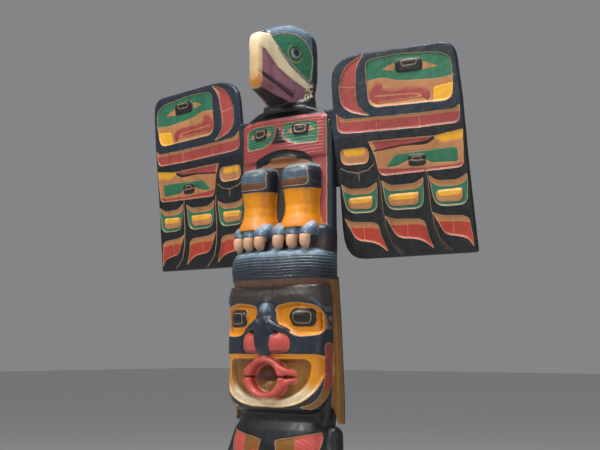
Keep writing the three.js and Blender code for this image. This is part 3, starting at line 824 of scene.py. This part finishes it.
def mesh_from(name, corners, faces, place=None, flip=False):
    """A smooth mesh in metres, thinned to the most triangles that a piece may have."""
    if flip:
        corners = corners * (-1, 1, 1)
        faces = faces[:, ::-1]
    mesh = bpy.data.meshes.new(name)
    mesh.vertices.add(len(corners))
    mesh.vertices.foreach_set("co", corners.ravel())
    mesh.loops.add(faces.size)
    mesh.loops.foreach_set("vertex_index", faces.ravel().astype(np.int32))
    mesh.polygons.add(len(faces))
    mesh.polygons.foreach_set("loop_start", np.arange(0, faces.size, 4, dtype=np.int32))
    mesh.update(calc_edges=True)
    mesh.validate()
    if place is not None:
        mesh.transform(place)
    if 2 * len(faces) > MOST_TRIANGLES:
        piece = in_scene(name, mesh)
        thin = piece.modifiers.new("thin", "DECIMATE")
        thin.ratio = MOST_TRIANGLES / (2 * len(faces))
        seen = piece.evaluated_get(bpy.context.evaluated_depsgraph_get())
        mesh = bpy.data.meshes.new_from_object(seen)
        bpy.data.objects.remove(piece)
    mesh.polygons.foreach_set("use_smooth", np.ones(len(mesh.polygons), bool))
    return mesh


def corners_of(mesh):
    corners = np.empty(3 * len(mesh.vertices), np.float32)
    mesh.vertices.foreach_get("co", corners)
    return corners.reshape(-1, 3)


# ---- paint
def srgb(red, green, blue):
    """A colour as seen, in 256 steps a channel, as the light values that a shader takes."""
    return tuple(((v / 255 + 0.055) / 1.055) ** 2.4 for v in (red, green, blue)) + (1.0,)


WOOD = srgb(134, 92, 58)
COLOURS = {
    "night": (33, 43, 55), "soot": (25, 27, 29), "brick": (160, 68, 64), "vermilion": (178, 62, 44),
    "tan": (184, 126, 80), "green": (46, 112, 82), "amber": (230, 146, 14), "yellow": (236, 172, 44),
    "ochre": (140, 94, 34), "cream": (214, 196, 162), "pink": (208, 88, 78), "mauve": (146, 98, 112),
    "plum": (82, 48, 62), "slate": (84, 104, 120), "grey": (134, 148, 148), "claw": (216, 170, 136),
    "umber": (56, 50, 46), "brown": (104, 66, 40),
}
# Thin colours laid over the coats. The pale blue-grey one is a painted highlight, the light cream one is a
# painted highlight low on the cheek rims, and the darkest one is painted shade. The brown one is painted
# shade in the face's recess, and a darker tone on the claws and the hoods.
GLAZES = {
    "painted_highlight": (146, 170, 190), "orange": (212, 122, 34), "shade": (18, 19, 21), "painted_cream_highlight": (238, 222, 184),
    "ochre": (186, 140, 70), "brown": (84, 50, 30),
}
TRIM = srgb(188, 148, 108)
TRIM_LAYERS = ("trim_0", "trim_1", "trim_2")
OPEN_LINES = 2


def all_of(*distances):
    """How far a point is inside all of several shapes."""
    return np.minimum.reduce(np.broadcast_arrays(*distances))


class Paint:
    """The paint on a piece: for each colour, how far a corner of the mesh is inside it."""

    def __init__(self, count):
        self.coats = {name: np.full(count, -FAR, np.float32) for name in COLOURS}
        self.glazes = {name: np.zeros(count, np.float32) for name in GLAZES}
        self.trims = np.full((len(TRIM_LAYERS), count), FAR, np.float32)

    def coat(self, colour, *where):
        """Paints what is inside all of the shapes."""
        where = all_of(*where)
        for name, coat in self.coats.items():
            over = where if name == colour else -where
            pick = np.maximum if name == colour else np.minimum
            self.coats[name] = pick(coat, over)

    def bare(self, where):
        """Takes the paint off again."""
        for name, coat in self.coats.items():
            self.coats[name] = np.minimum(coat, -where)
        for name, glaze in self.glazes.items():
            self.glazes[name] = glaze * (where < 0)

    def edge(self, where, within=True, layer=0):
        """Draws a thin light line where the distance is nought, in one part of the piece."""
        where = np.where(within, where, np.copysign(FAR, where))
        trim = self.trims[layer]
        self.trims[layer] = np.minimum(np.abs(trim), np.abs(where)) * np.sign(trim) * np.sign(where)

    def line(self, where, within):
        """Draws an open light line where the distance is nought, in one part of the piece."""
        where = np.where(within, where, FAR)
        trim = self.trims[OPEN_LINES]
        self.trims[OPEN_LINES] = np.where(np.abs(where) < np.abs(trim), where, trim)

    def clear(self, where, layer):
        """Takes a layer's light lines away from part of the piece."""
        trim = self.trims[layer]
        self.trims[layer] = np.where(where > 0, np.copysign(FAR, trim), trim)

    def glaze(self, name, amount):
        """Adds a thin second colour, by an amount between 0 and 1. Some glazes are painted highlights and
        painted shade.
        """
        self.glazes[name] = np.maximum(self.glazes[name], amount)

    def store(self, mesh):
        named = {**self.coats, **dict(zip(TRIM_LAYERS, self.trims))}
        named.update({"glaze_" + name: amount for name, amount in self.glazes.items()})
        for name, values in named.items():
            layer = mesh.attributes.new(name, "FLOAT", "POINT")
            layer.data.foreach_set("value", values.astype(np.float32))


def hand_drawn(corners):
    """The corners moved a little, so that painted edges waver as a brush does."""
    x, y, z = corners.T
    return x + 1.6 * ripple(x, y, z, 120), y, z + 1.6 * ripple(z, x, y, 110)


def on(body, x, y, z, within=7):
    """How far a point is inside the skin of a body, for painting that body alone."""
    return within - body[0](x, y, z)


def paint_head(paint, x, y, z):
    skin = on(head(), x, y, z, 16)
    side = all_of(skin, np.abs(x) - 20)
    crown = above(BEAK_EDGE, y, z)
    jaw = above(JAW_LOW, y, z)
    low = above(BAND_LOW, y, z)
    paint.coat("soot", z - 3046, 62 - y)
    paint.coat("night", skin, jaw)
    paint.coat("mauve", skin, -crown, jaw, -8 - y)
    mouth = above(MOUTH_LINE, y, z) - 4
    paint.coat("plum", side, 15 - np.abs(mouth), -88 - y, jaw - 8)
    paint.coat("plum", side, 3 - np.abs(low + 20), -88 - y)
    stripe = np.abs((y + 22) % 17 - 8.5) - 3.5
    paint.coat("soot", skin, jaw, 3262 - z, y + 30, 26 - y)
    paint.coat("cream", skin, jaw - 10, 3256 - z, y + 28, 24 - y, stripe)
    paint.coat("cream", skin, low, -crown, -12 - y)
    front = np.maximum(-312 - y, 26 - np.abs(x))
    paint.coat("cream", skin, front, z - 3192, -248 - y)
    paint.coat("slate", skin, np.maximum(crown, y + 12), y + 262, z - 3250)
    paint.coat("night", skin, y - 10, 3560 - z, z - 3250)
    panel = inside(HEAD_PANEL, y, z)
    paint.coat("green", side, panel)
    paint.edge(panel, side > -40)
    across, up = (y - HEAD_EYE[0]) / 0.8, z - HEAD_EYE[1]
    eye = np.hypot(across, up)
    paint.coat("soot", side, 46 - eye)
    paint.coat("grey", side, 38 - eye, np.hypot(across, up - 8) - 26)
    paint.edge(np.hypot(across + 4, up) - 60, (side > -40) & (across + up < 30), layer=1)
    tip = ramp(all_of(skin, front, -248 - y), -4, 4)
    paint.glaze("ochre", 0.6 * ramp(-z, -3560, -3370) * tip * (z > 3192))
    paint.glaze("orange", ramp(-z, -3330, -3230) * tip * (z > 3192))
    strokes = ramp(ripple(2 * x, y, 3 * z, 34), 0.0, 0.5)
    paint.glaze("shade", 0.75 * strokes * ramp(all_of(skin, crown, np.maximum(-panel, 20 - side)), 0, 8))
    paint.glaze("shade", 0.4 * ramp(all_of(side, panel), 0, 30) * ramp(-eye, -110, -40))
    # A painted highlight on the top of the head.
    paint.glaze("painted_highlight", 0.5 * ramp(z, 3540, 3640) * ramp(skin, 0, 6) * ramp(y, -262, -240))


def paint_chest(paint, x, y, z):
    front = -14 - y
    chest = all_of(351 - np.abs(x), 3034 - z, z - LEVEL["roost"] - 4, front)
    paint.coat("brick", chest)
    paint.line(np.abs(x) - 350, (front > -6) & (z > 2320))
    behind = inside([(-292, 2730, 60), (0, 2815, 120), (292, 2730, 60), (300, 2300), (-300, 2300)], x, z)
    paint.coat("umber", behind, front)
    paint.coat("tan", behind, front, z - 2716)
    patch = pair(PATCH, x, z)
    paint.coat("green", patch, front)
    paint.edge(patch, front > 0)
    for tip, root in ((62, 118), (276, 222)):
        paint.coat("tan", pair([(tip, 2938), (root, 2970), (root, 2918)], x, z), front)
    paint.coat("soot", pair(CHEST_EYE, x, z), front)
    paint.edge(pair(CHEST_PUPIL, x, z), front > 0)
    beak = inside(CHEST_NOSE, x, z)
    paint.coat("soot", beak, front)
    paint.clear(all_of(beak + 5, front), layer=0)
    paint.coat("soot", inside(ARCH, x, z), front)
    row = np.abs(off_row(x, z))
    paint.glaze("shade", 0.35 * ramp(row, 7, 10) * ramp(chest, 2, 8) * (z > 2770))


def paint_legs(paint, x, y, z):
    skin = all_of(on(leg(1), np.abs(x), y, z), z - LEVEL["ankle"])
    paint.coat("night", skin, z - LEVEL["shin_top"])
    paint.coat("amber", skin, LEVEL["shin_top"] - z, -20 - y)
    panel = pair(KNEE_PANEL, x, z)
    paint.coat("slate", skin, panel, z - 2612, -96 - y)
    paint.coat("brown", skin, panel, 2612 - z, -96 - y)
    paint.edge(panel, (skin > 0) & (y < -90))
    paint.line(z - LEVEL["shin_top"], (skin > 0) & (y < -60))
    knee = ramp(skin, -2, 4)
    strokes = ramp(ripple(2 * x, y, 3 * z, 30), -0.1, 0.4)
    paint.glaze("shade", 0.5 * strokes * ramp(panel, 0, 8) * knee * (z > 2612))
    # A painted highlight along the tops of the knees.
    paint.glaze("painted_highlight", 0.9 * ramp(z, 2684, 2706) * knee)
    paint.glaze("orange", 0.6 * ramp(-z, -2420, -2330) * knee)
    feet = -FAR
    claws = -FAR
    for at, forward in TOES:
        feet = np.maximum(feet, on(toe(at, forward), np.abs(x), y, z, 6))
        claws = np.maximum(claws, on(claw(at, forward), np.abs(x), y, z, 3))
    perch = on(roost(), x, y, z)
    paint.coat("umber", perch, LEVEL["perch"] - z, -40 - y)
    paint.coat("night", perch, z - LEVEL["perch"])
    paint.coat("slate", feet, z - 2250, -90 - y)
    paint.coat("claw", claws, 2256 - z, -150 - y)
    paint.glaze("brown", 0.6 * ramp(-z, -2200, -2170) * ramp(claws, 0, 4) * (y < -150))
    # A painted highlight on the tops of the toes.
    paint.glaze("painted_highlight", 0.85 * ramp(z, 2276, 2322) * ramp(feet, 0, 4) * (y < -90))


def paint_hat(paint, x, y, z):
    skin = on(hat(), x, y, z, 14)
    low, high = LEVEL["hat_rim"], LEVEL["hat_rim"] + HAT_RINGS * HAT_PITCH
    paint.coat("night", skin, z - low + 6)
    # The underside of the rim is painted dark brown: painted shade under the rim, darker still near its lower
    # edge.
    paint.coat("brown", skin, low - 6 - z, z - LEVEL["hat_under"])
    front = ramp(-y, -70, -20) * ramp(skin, 0, 6)
    ring = up_hat(x, z) % HAT_PITCH
    # Painted highlights on the upper side of each of the hat's rings, stronger higher up, and over its top.
    paint.glaze("painted_highlight", ramp(z, 2010, 2230) * ramp(-np.abs(ring - 9), -8, -2) * front * (z < high))
    paint.glaze("painted_highlight", 0.9 * ramp(z, 2112, 2150) * front)
    paint.glaze("shade", 0.8 * ramp(-z, -1958, -1932) * ramp(skin, 0, 6) * (z > 1915))


def paint_face(paint, x, y, z):
    front = -36 - y
    arch = LEVEL["brow"] - 8 + 14 * np.cos(x / 62) * (np.abs(x) < 390) - 60 * ramp(np.abs(x), 330, 396)
    paint.coat("umber", z - arch, LEVEL["hat_under"] + 4 - z, -20 - y)
    # A painted highlight where the brow turns down round the outer ends of the sockets.
    paint.glaze("painted_highlight", 0.3 * ramp(np.abs(x), 300, 372) * ramp(-np.abs(z - arch - 16), -22, -6) * (y < -40))
    paint.coat("amber", pair(SOCKET, x, z), front)
    paint.edge(pair(SOCKET, x, z), front > 0)
    paint.coat("soot", pair(EYE, x, z), front)
    paint.edge(pair(PUPIL, x, z), front > 0)
    cheeks, recess = inside(CHEEKS, x, z), inside(RECESS, x, z)
    paint.coat("amber", cheeks, -recess, front)
    paint.coat("ochre", recess, front)
    paint.edge(cheeks, (y < -110) & (z < 1500))
    rim = ramp(cheeks, 0, 4) * ramp(-recess, -26, 0) * ramp(front, 0, 4)
    # A cream painted highlight, growing towards the bottom of the cheek rims where they face up.
    paint.glaze("painted_cream_highlight", 0.95 * ramp(-z, -1350, -1262) * rim)
    # A brown band just inside the edge of the recess: painted shade under its rim.
    paint.glaze("brown", 0.35 * ramp(recess, 0, 24) * ramp(-recess, -70, -24) * ramp(front, 0, 4))
    along = y - 0.8 * np.maximum(392 - np.abs(x), 0)
    strip = all_of(inside(HOOK, along, z), 18 - y)
    paint.coat("brick", strip)
    paint.coat("ochre", strip, 1300 - z)
    paint.edge(strip, along < -20, layer=1)


def paint_features(paint, x, y, z):
    ridge = on(nose_wing(1), np.abs(x), y, z, 6)
    bridge = np.maximum(on(nose(), x, y, z, 9), ridge)
    paint.coat("night", bridge, LEVEL["brow"] - z)
    for layer in range(OPEN_LINES):
        paint.clear(bridge + 6, layer)
    nostrils = all_of(on(nostril(1), np.abs(x), y, z, 6), np.abs(x) - 58, -on(nose(), x, y, z, 3))
    paint.coat("pink", nostrils, 3 - ridge)
    paint.glaze("shade", 0.45 * ramp(-z, -1548, -1528) * ramp(nostrils, 0, 5))
    inner = 8 - ball((0, -250, LEVEL["mouth"]), (108, 124, 92))[0](x, y, z)
    paint.coat("brown", inner, -90 - y)
    paint.coat("ochre", inner, 1350 - z, -90 - y)
    ring = on(lips(), x, y, z, 9)
    for lip in lip_corner(1):
        ring = np.maximum(ring, on(lip, np.abs(x), y, z, 8))
    paint.coat("pink", ring)
    meeting = ramp(-np.abs(z - LEVEL["lips_meet"]), -9, -4) * ramp(np.abs(x), 94, 108) * ramp(ring, 0, 3)
    paint.glaze("shade", 0.8 * meeting)
    # A painted highlight on the top of the nose's bridge.
    paint.glaze("painted_highlight", 0.6 * ramp(z, 1766, 1812) * ramp(bridge, 0, 6) * (np.abs(x) < 60) * (z < 1836))


def paint_hood(paint, x, y, z):
    for side in SIDES:
        skin = all_of(on(hood(side), x, y, z, 6), side * x - 340, LEVEL["hat_rim"] - 8 - z)
        paint.coat("night", skin)
        paint.coat("ochre", skin, 30 - y)
        paint.glaze("brown", 0.5 * ramp(z, 1500, 1900) * ramp(skin, 0, 4) * (y < 30))


def paint_body(paint, x, y, z):
    front = -90 - y
    patch = pair(CHEST_PATCH, x, z)
    skin = on(torso(), x, y, z, 9)
    paint.coat("ochre", patch, skin, front)
    paint.coat("pink", patch, skin, front, np.abs(x) - 205)
    paint.edge(patch, (front > 0) & (skin > 0))
    panel = inside(BELLY_PANEL, x, z)
    paint.coat("brick", panel, skin, front)
    paint.edge(panel, (front > 0) & (skin > 0))
    hands = on(hand(1), np.abs(x), y, z)
    paint.coat("pink", hands, z - 752)
    shins = on(squat_leg(1), np.abs(x), y, z)
    paint.coat("amber", shins, 420 - z, -110 - y)
    knee = pair(SQUAT_PANEL, x, z)
    paint.coat("tan", knee, shins, -200 - y)
    paint.edge(knee, (shins > 0) & (y < -200))
    paint.line(z - 420, (shins > 0) & (y < -120))
    paint.coat("slate", on(squat_foot(1), np.abs(x), y, z), z - BASE_HEIGHT, -200 - y)
    paint.bare(BASE_HEIGHT + 2 - z)


# In this order, because a later part's paint lies over an earlier one's.
PAINTED_PARTS = (
    paint_chest, paint_legs, paint_head, paint_body, paint_face, paint_features, paint_hat, paint_hood,
)


def paint_pole(mesh):
    x, y, z = hand_drawn(corners_of(mesh) / MM)
    paint = Paint(len(x))
    front = POLE_PAINT_BACK - y
    paint.coat("night", front)
    paint.coat("soot", front, POLE_DARK - z)
    for part in PAINTED_PARTS:
        part(paint, x, y, z)
    paint.bare(-front)
    paint.store(mesh)


def paint_wing(mesh, side):
    place = wing_stand(side)
    place.translation *= MM
    turn, shift = np.split(np.array(place.inverted())[:3], [3], axis=1)
    local = corners_of(mesh) @ turn.T + shift[:, 0]
    u, w, v = hand_drawn((local * (side, 1, 1) / MM)[:, [0, 2, 1]])
    front = w + WING_FIELD_BACK
    paint = Paint(len(u))
    paint.coat("night", np.full(len(u), 20.0))
    paint.coat("soot", WING_DARK - v)

    def field(colour, corners, *within):
        where = all_of(inside(corners, u, v), *within)
        paint.coat(colour, where, front)
        return where

    def rim(where, within=True, layer=0):
        paint.edge(where, within & (front > 0), layer)

    def line(where, within):
        paint.line(where, within & (front > 0))

    top = field("tan", TOP_PANEL)
    field("green", TOP_GREEN, top)
    rim(top)
    rim(inside(TOP_GREEN, u, v), top > 0)
    field("brick", RED_TONGUE, top - 4)
    field("tan", TONGUE_LOW, top)
    field("brick", TONGUE_MIDDLE, top)
    field("yellow", TOP_YELLOW, top)
    for tail in (TOP_TAIL_IN, TOP_TAIL_OUT):
        field("tan", tail)
    field("soot", TOP_EYE)
    rim(inside(TOP_PUPIL, u, v))
    strip = field("brick", STRIP)
    rim(strip)
    line(v - 556 + 0.14 * (u - 445), strip > 0)
    band = field("brick", BAND)
    field("tan", BAND_TAN, band)
    rim(band)
    for at in (699, 1003):
        line(u - at, (band > 0) & (v < 316))
    middle = field("tan", MIDDLE)
    rim(middle)
    field("brick", MIDDLE_RED, middle - 6)
    field("soot", MIDDLE_BAR, middle)
    field("yellow", MIDDLE_YELLOW, middle)
    field("brick", MIDDLE_LOW, middle)
    rim(field("green", MIDDLE_GREEN, middle))
    field("soot", MIDDLE_EYE)
    rim(inside(MIDDLE_PUPIL, u, v))
    rim(field("tan", KNUCKLE))
    field("yellow", KNUCKLE_YELLOW)
    line(off_line(KNUCKLE_ARC, u, v), (u > 416) & (u < 672))
    line(off_line(KNUCKLE_STEM, u, v), (v < 8) & (v > -48))
    for start, end, tip in FEATHERS:
        whole = field("green", feather_u(start, end))
        rim(whole)
        field("soot", feather_oval(start, end))
        rim(field("tan", feather_crescent(start, end), whole), layer=1)
        inner = inside(feather_oval(start, end), u, v) - 6
        paint.coat("tan", inner, front)
        rim(inner)
        field("yellow", feather_yellow(start, end))
        whole = field("vermilion", feather_tip(start, end, tip))
        field("tan", feather_tip_tan(start, end), whole)
        rim(whole)
        line(u - (start + end) / 2 - 12, (whole > 0) & (v > -412))
    for at in FEATHER_CUTS:
        line(off_line([(at + 8 + du, dv) for du, dv in CUT_LINE], u, v), (v < -20) & (v > -516))
    paint.bare(-w - WING_PAINT_BACK)
    paint.store(mesh)


# ---- materials
class Graph:
    """Adds shader nodes with their values and links in one call."""

    def __init__(self, name):
        self.material = bpy.data.materials.new(name)
        self.material.use_nodes = True
        self.tree = self.material.node_tree
        self.shader = self.tree.nodes["Principled BSDF"]

    def node(self, kind, inputs=None, **settings):
        made = self.tree.nodes.new("ShaderNode" + kind)
        for name, value in settings.items():
            setattr(made, name, value)
        for name, value in (inputs or {}).items():
            self.set(made, name, value)
        return made

    def set(self, node, name, value):
        socket = node.inputs[name]
        if isinstance(value, bpy.types.NodeSocket):
            self.tree.links.new(value, socket)
        else:
            socket.default_value = value

    def ramp(self, value, start, end, low=0.0, high=1.0):
        inputs = {"Value": value, "From Min": start, "From Max": end, "To Min": low, "To Max": high}
        return self.node("MapRange", inputs, interpolation_type="SMOOTHSTEP").outputs["Result"]

    def maths(self, operation, a, b=0.0):
        return self.node("Math", {0: a, 1: b}, operation=operation).outputs[0]

    def mix(self, factor, a, b, blend="MIX"):
        made = self.node("Mix", data_type="RGBA", blend_type=blend)
        for index, value in ((0, factor), (6, a), (7, b)):
            self.set(made, index, value)
        return made.outputs[2]

    def darken(self, factor, colour, tint):
        """Multiplies a colour by a tint, as far as the factor says."""
        return self.mix(factor, colour, self.mix(1.0, colour, tint, "MULTIPLY"))

    def noise(self, place, scale, detail=3.0, stretch=(1, 1, 1)):
        moved = self.node("Mapping", {"Vector": place, "Scale": stretch}).outputs["Vector"]
        inputs = {"Vector": moved, "Scale": scale, "Detail": detail}
        return self.node("TexNoise", inputs).outputs["Fac"]

    def attribute(self, name):
        return self.node("Attribute", attribute_name=name, attribute_type="GEOMETRY").outputs["Fac"]


def painted_wood(name, trim_width=4.0):
    """Satin paint in many colours on a carved softwood log, with brush marks, grain and worn edges."""
    graph = Graph(name)
    place = graph.node("TexCoord").outputs["Object"]
    grain = graph.noise(place, 14, 5, (1, 1, 0.07))
    fine = graph.noise(place, 90, 3, (1, 1, 0.08))
    brush = graph.noise(place, 26, 4, (1, 1, 0.5))
    blotch = graph.noise(place, 3.2, 4)
    speck = graph.noise(place, 70, 2)

    colour = graph.mix(graph.ramp(grain, 0.3, 0.7), WOOD, srgb(176, 130, 86))
    colour = graph.mix(graph.ramp(fine, 0.45, 0.75, 0, 0.5), colour, srgb(88, 58, 36))
    painted = None
    for coat, tint in COLOURS.items():
        cover = graph.ramp(graph.attribute(coat), -1.6, 0.8)
        colour = graph.mix(cover, colour, srgb(*tint))
        painted = cover if painted is None else graph.maths("MAXIMUM", painted, cover)
    # The glazes lay painted highlights and painted shade over the coats, as well as some thin colours of the
    # paint itself.
    for glaze, tint in GLAZES.items():
        streaks = graph.ramp(brush, 0.3, 0.62, 0.7, 1)
        thin = graph.maths("MULTIPLY", graph.attribute("glaze_" + glaze), streaks)
        colour = graph.mix(thin, colour, srgb(*tint))
    for layer in TRIM_LAYERS:
        off = graph.maths("ABSOLUTE", graph.attribute(layer))
        cover = graph.ramp(off, trim_width, trim_width - 2, 0, 0.75)
        colour = graph.mix(cover, colour, TRIM)

    colour = graph.darken(graph.ramp(blotch, 0.35, 0.7, 0, 0.3), colour, srgb(150, 140, 130))
    colour = graph.darken(graph.ramp(grain, 0.5, 0.75, 0, 0.4), colour, srgb(160, 150, 146))
    sharp = graph.node("NewGeometry").outputs["Pointiness"]
    rubbed = graph.maths("MULTIPLY", graph.ramp(sharp, 0.53, 0.62), graph.ramp(speck, 0.46, 0.62))
    colour = graph.mix(graph.maths("MULTIPLY", rubbed, 0.7), colour, srgb(190, 160, 124))
    graph.set(graph.shader, "Base Color", colour)

    drier = graph.ramp(painted, 0.0, 1.0, 0.2, 0.0)
    graph.set(graph.shader, "Roughness", graph.maths("ADD", graph.ramp(brush, 0.3, 0.7, 0.34, 0.5), drier))
    height = graph.maths("ADD", graph.maths("MULTIPLY", fine, 0.35), graph.maths("MULTIPLY", brush, 0.65))
    bump = graph.node("Bump", {"Height": height, "Strength": 0.35, "Distance": 0.002})
    graph.set(graph.shader, "Normal", bump.outputs["Normal"])
    return graph.material


def plain(name, colour, roughness):
    graph = Graph(name)
    graph.set(graph.shader, "Base Color", colour)
    graph.set(graph.shader, "Roughness", roughness)
    return graph.material


# ---- the pieces
def stand_in_for(node, mesh, material):
    piece = in_scene("carved_" + node, mesh)
    mesh.materials.clear()
    mesh.materials.append(material)
    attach(piece, "root")
    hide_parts(node)


def keep_in(mesh, node):
    """Keeps a mesh inside its node's own box."""
    low, high = (np.array(corner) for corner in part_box(node))
    corners = np.clip(corners_of(mesh), low, high)
    mesh.vertices.foreach_set("co", corners.ravel())
    mesh.update()


def build_pieces():
    corners, faces = pole_block().surface()
    log = mesh_from("pole", corners * MM, faces)
    paint_pole(log)
    keep_in(log, "pole")
    stand_in_for("pole", log, painted_wood("painted_log", 3.6))
    corners, faces = wing_block().surface()
    coat = painted_wood("painted_wing", 3.2)
    for side, node in ((-1, "wing_left"), (1, "wing_right")):
        place = wing_stand(side)
        place.translation *= MM
        plank = mesh_from(node, corners * MM, faces, place, flip=side < 0)
        paint_wing(plank, side)
        keep_in(plank, node)
        stand_in_for(node, plank, coat)


# ---- the studio
CAMERA = {"place": (4.642, -5.504, 1.548), "azimuth": 39.498, "elevation": -6.312, "lens": 67.06}


def add_camera():
    data = bpy.data.cameras.new("camera")
    data.lens = CAMERA["lens"]
    data.sensor_width = 36
    camera = in_scene("camera", data)
    turn = Matrix.Rotation(math.radians(CAMERA["azimuth"]), 4, "Z")
    tilt = Matrix.Rotation(math.radians(90 - CAMERA["elevation"]), 4, "X")
    camera.matrix_world = Matrix.Translation(CAMERA["place"]) @ turn @ tilt
    bpy.context.scene.camera = camera


def add_lamp(name, place, aim, size, power):
    data = bpy.data.lights.new(name, "AREA")
    data.size = size
    data.energy = power
    lamp = in_scene(name, data)
    lamp.location = place
    lamp.rotation_euler = (Vector(aim) - Vector(place)).to_track_quat("-Z", "Y").to_euler()


def add_studio():
    half = 60.0
    mesh = bpy.data.meshes.new("floor")
    square = [(-half, -half, 0), (half, -half, 0), (half, half, 0), (-half, half, 0)]
    mesh.from_pydata(square, [], [(0, 1, 2, 3)])
    mesh.materials.append(plain("pale_floor", (0.72, 0.72, 0.71, 1), 0.8))
    floor = in_scene("floor", mesh)
    add_lamp("key", (-2.4, -5.6, 6.8), (0, 0, 2.0), 2.2, 330)
    add_lamp("fill", (6.5, -4.5, 3.0), (0, 0, 2.0), 4.0, 75)
    add_lamp("top", (0.4, -1.2, 6.6), (0, 0, 2.4), 1.4, 230)
    world = bpy.data.worlds.new("studio")
    world.use_nodes = True
    background = world.node_tree.nodes["Background"]
    background.inputs["Color"].default_value = (0.86, 0.87, 0.89, 1)
    background.inputs["Strength"].default_value = 0.27
    bpy.context.scene.world = world


bpy.context.scene.view_settings.view_transform = "Standard"
add_camera()
add_studio()
build_pieces()
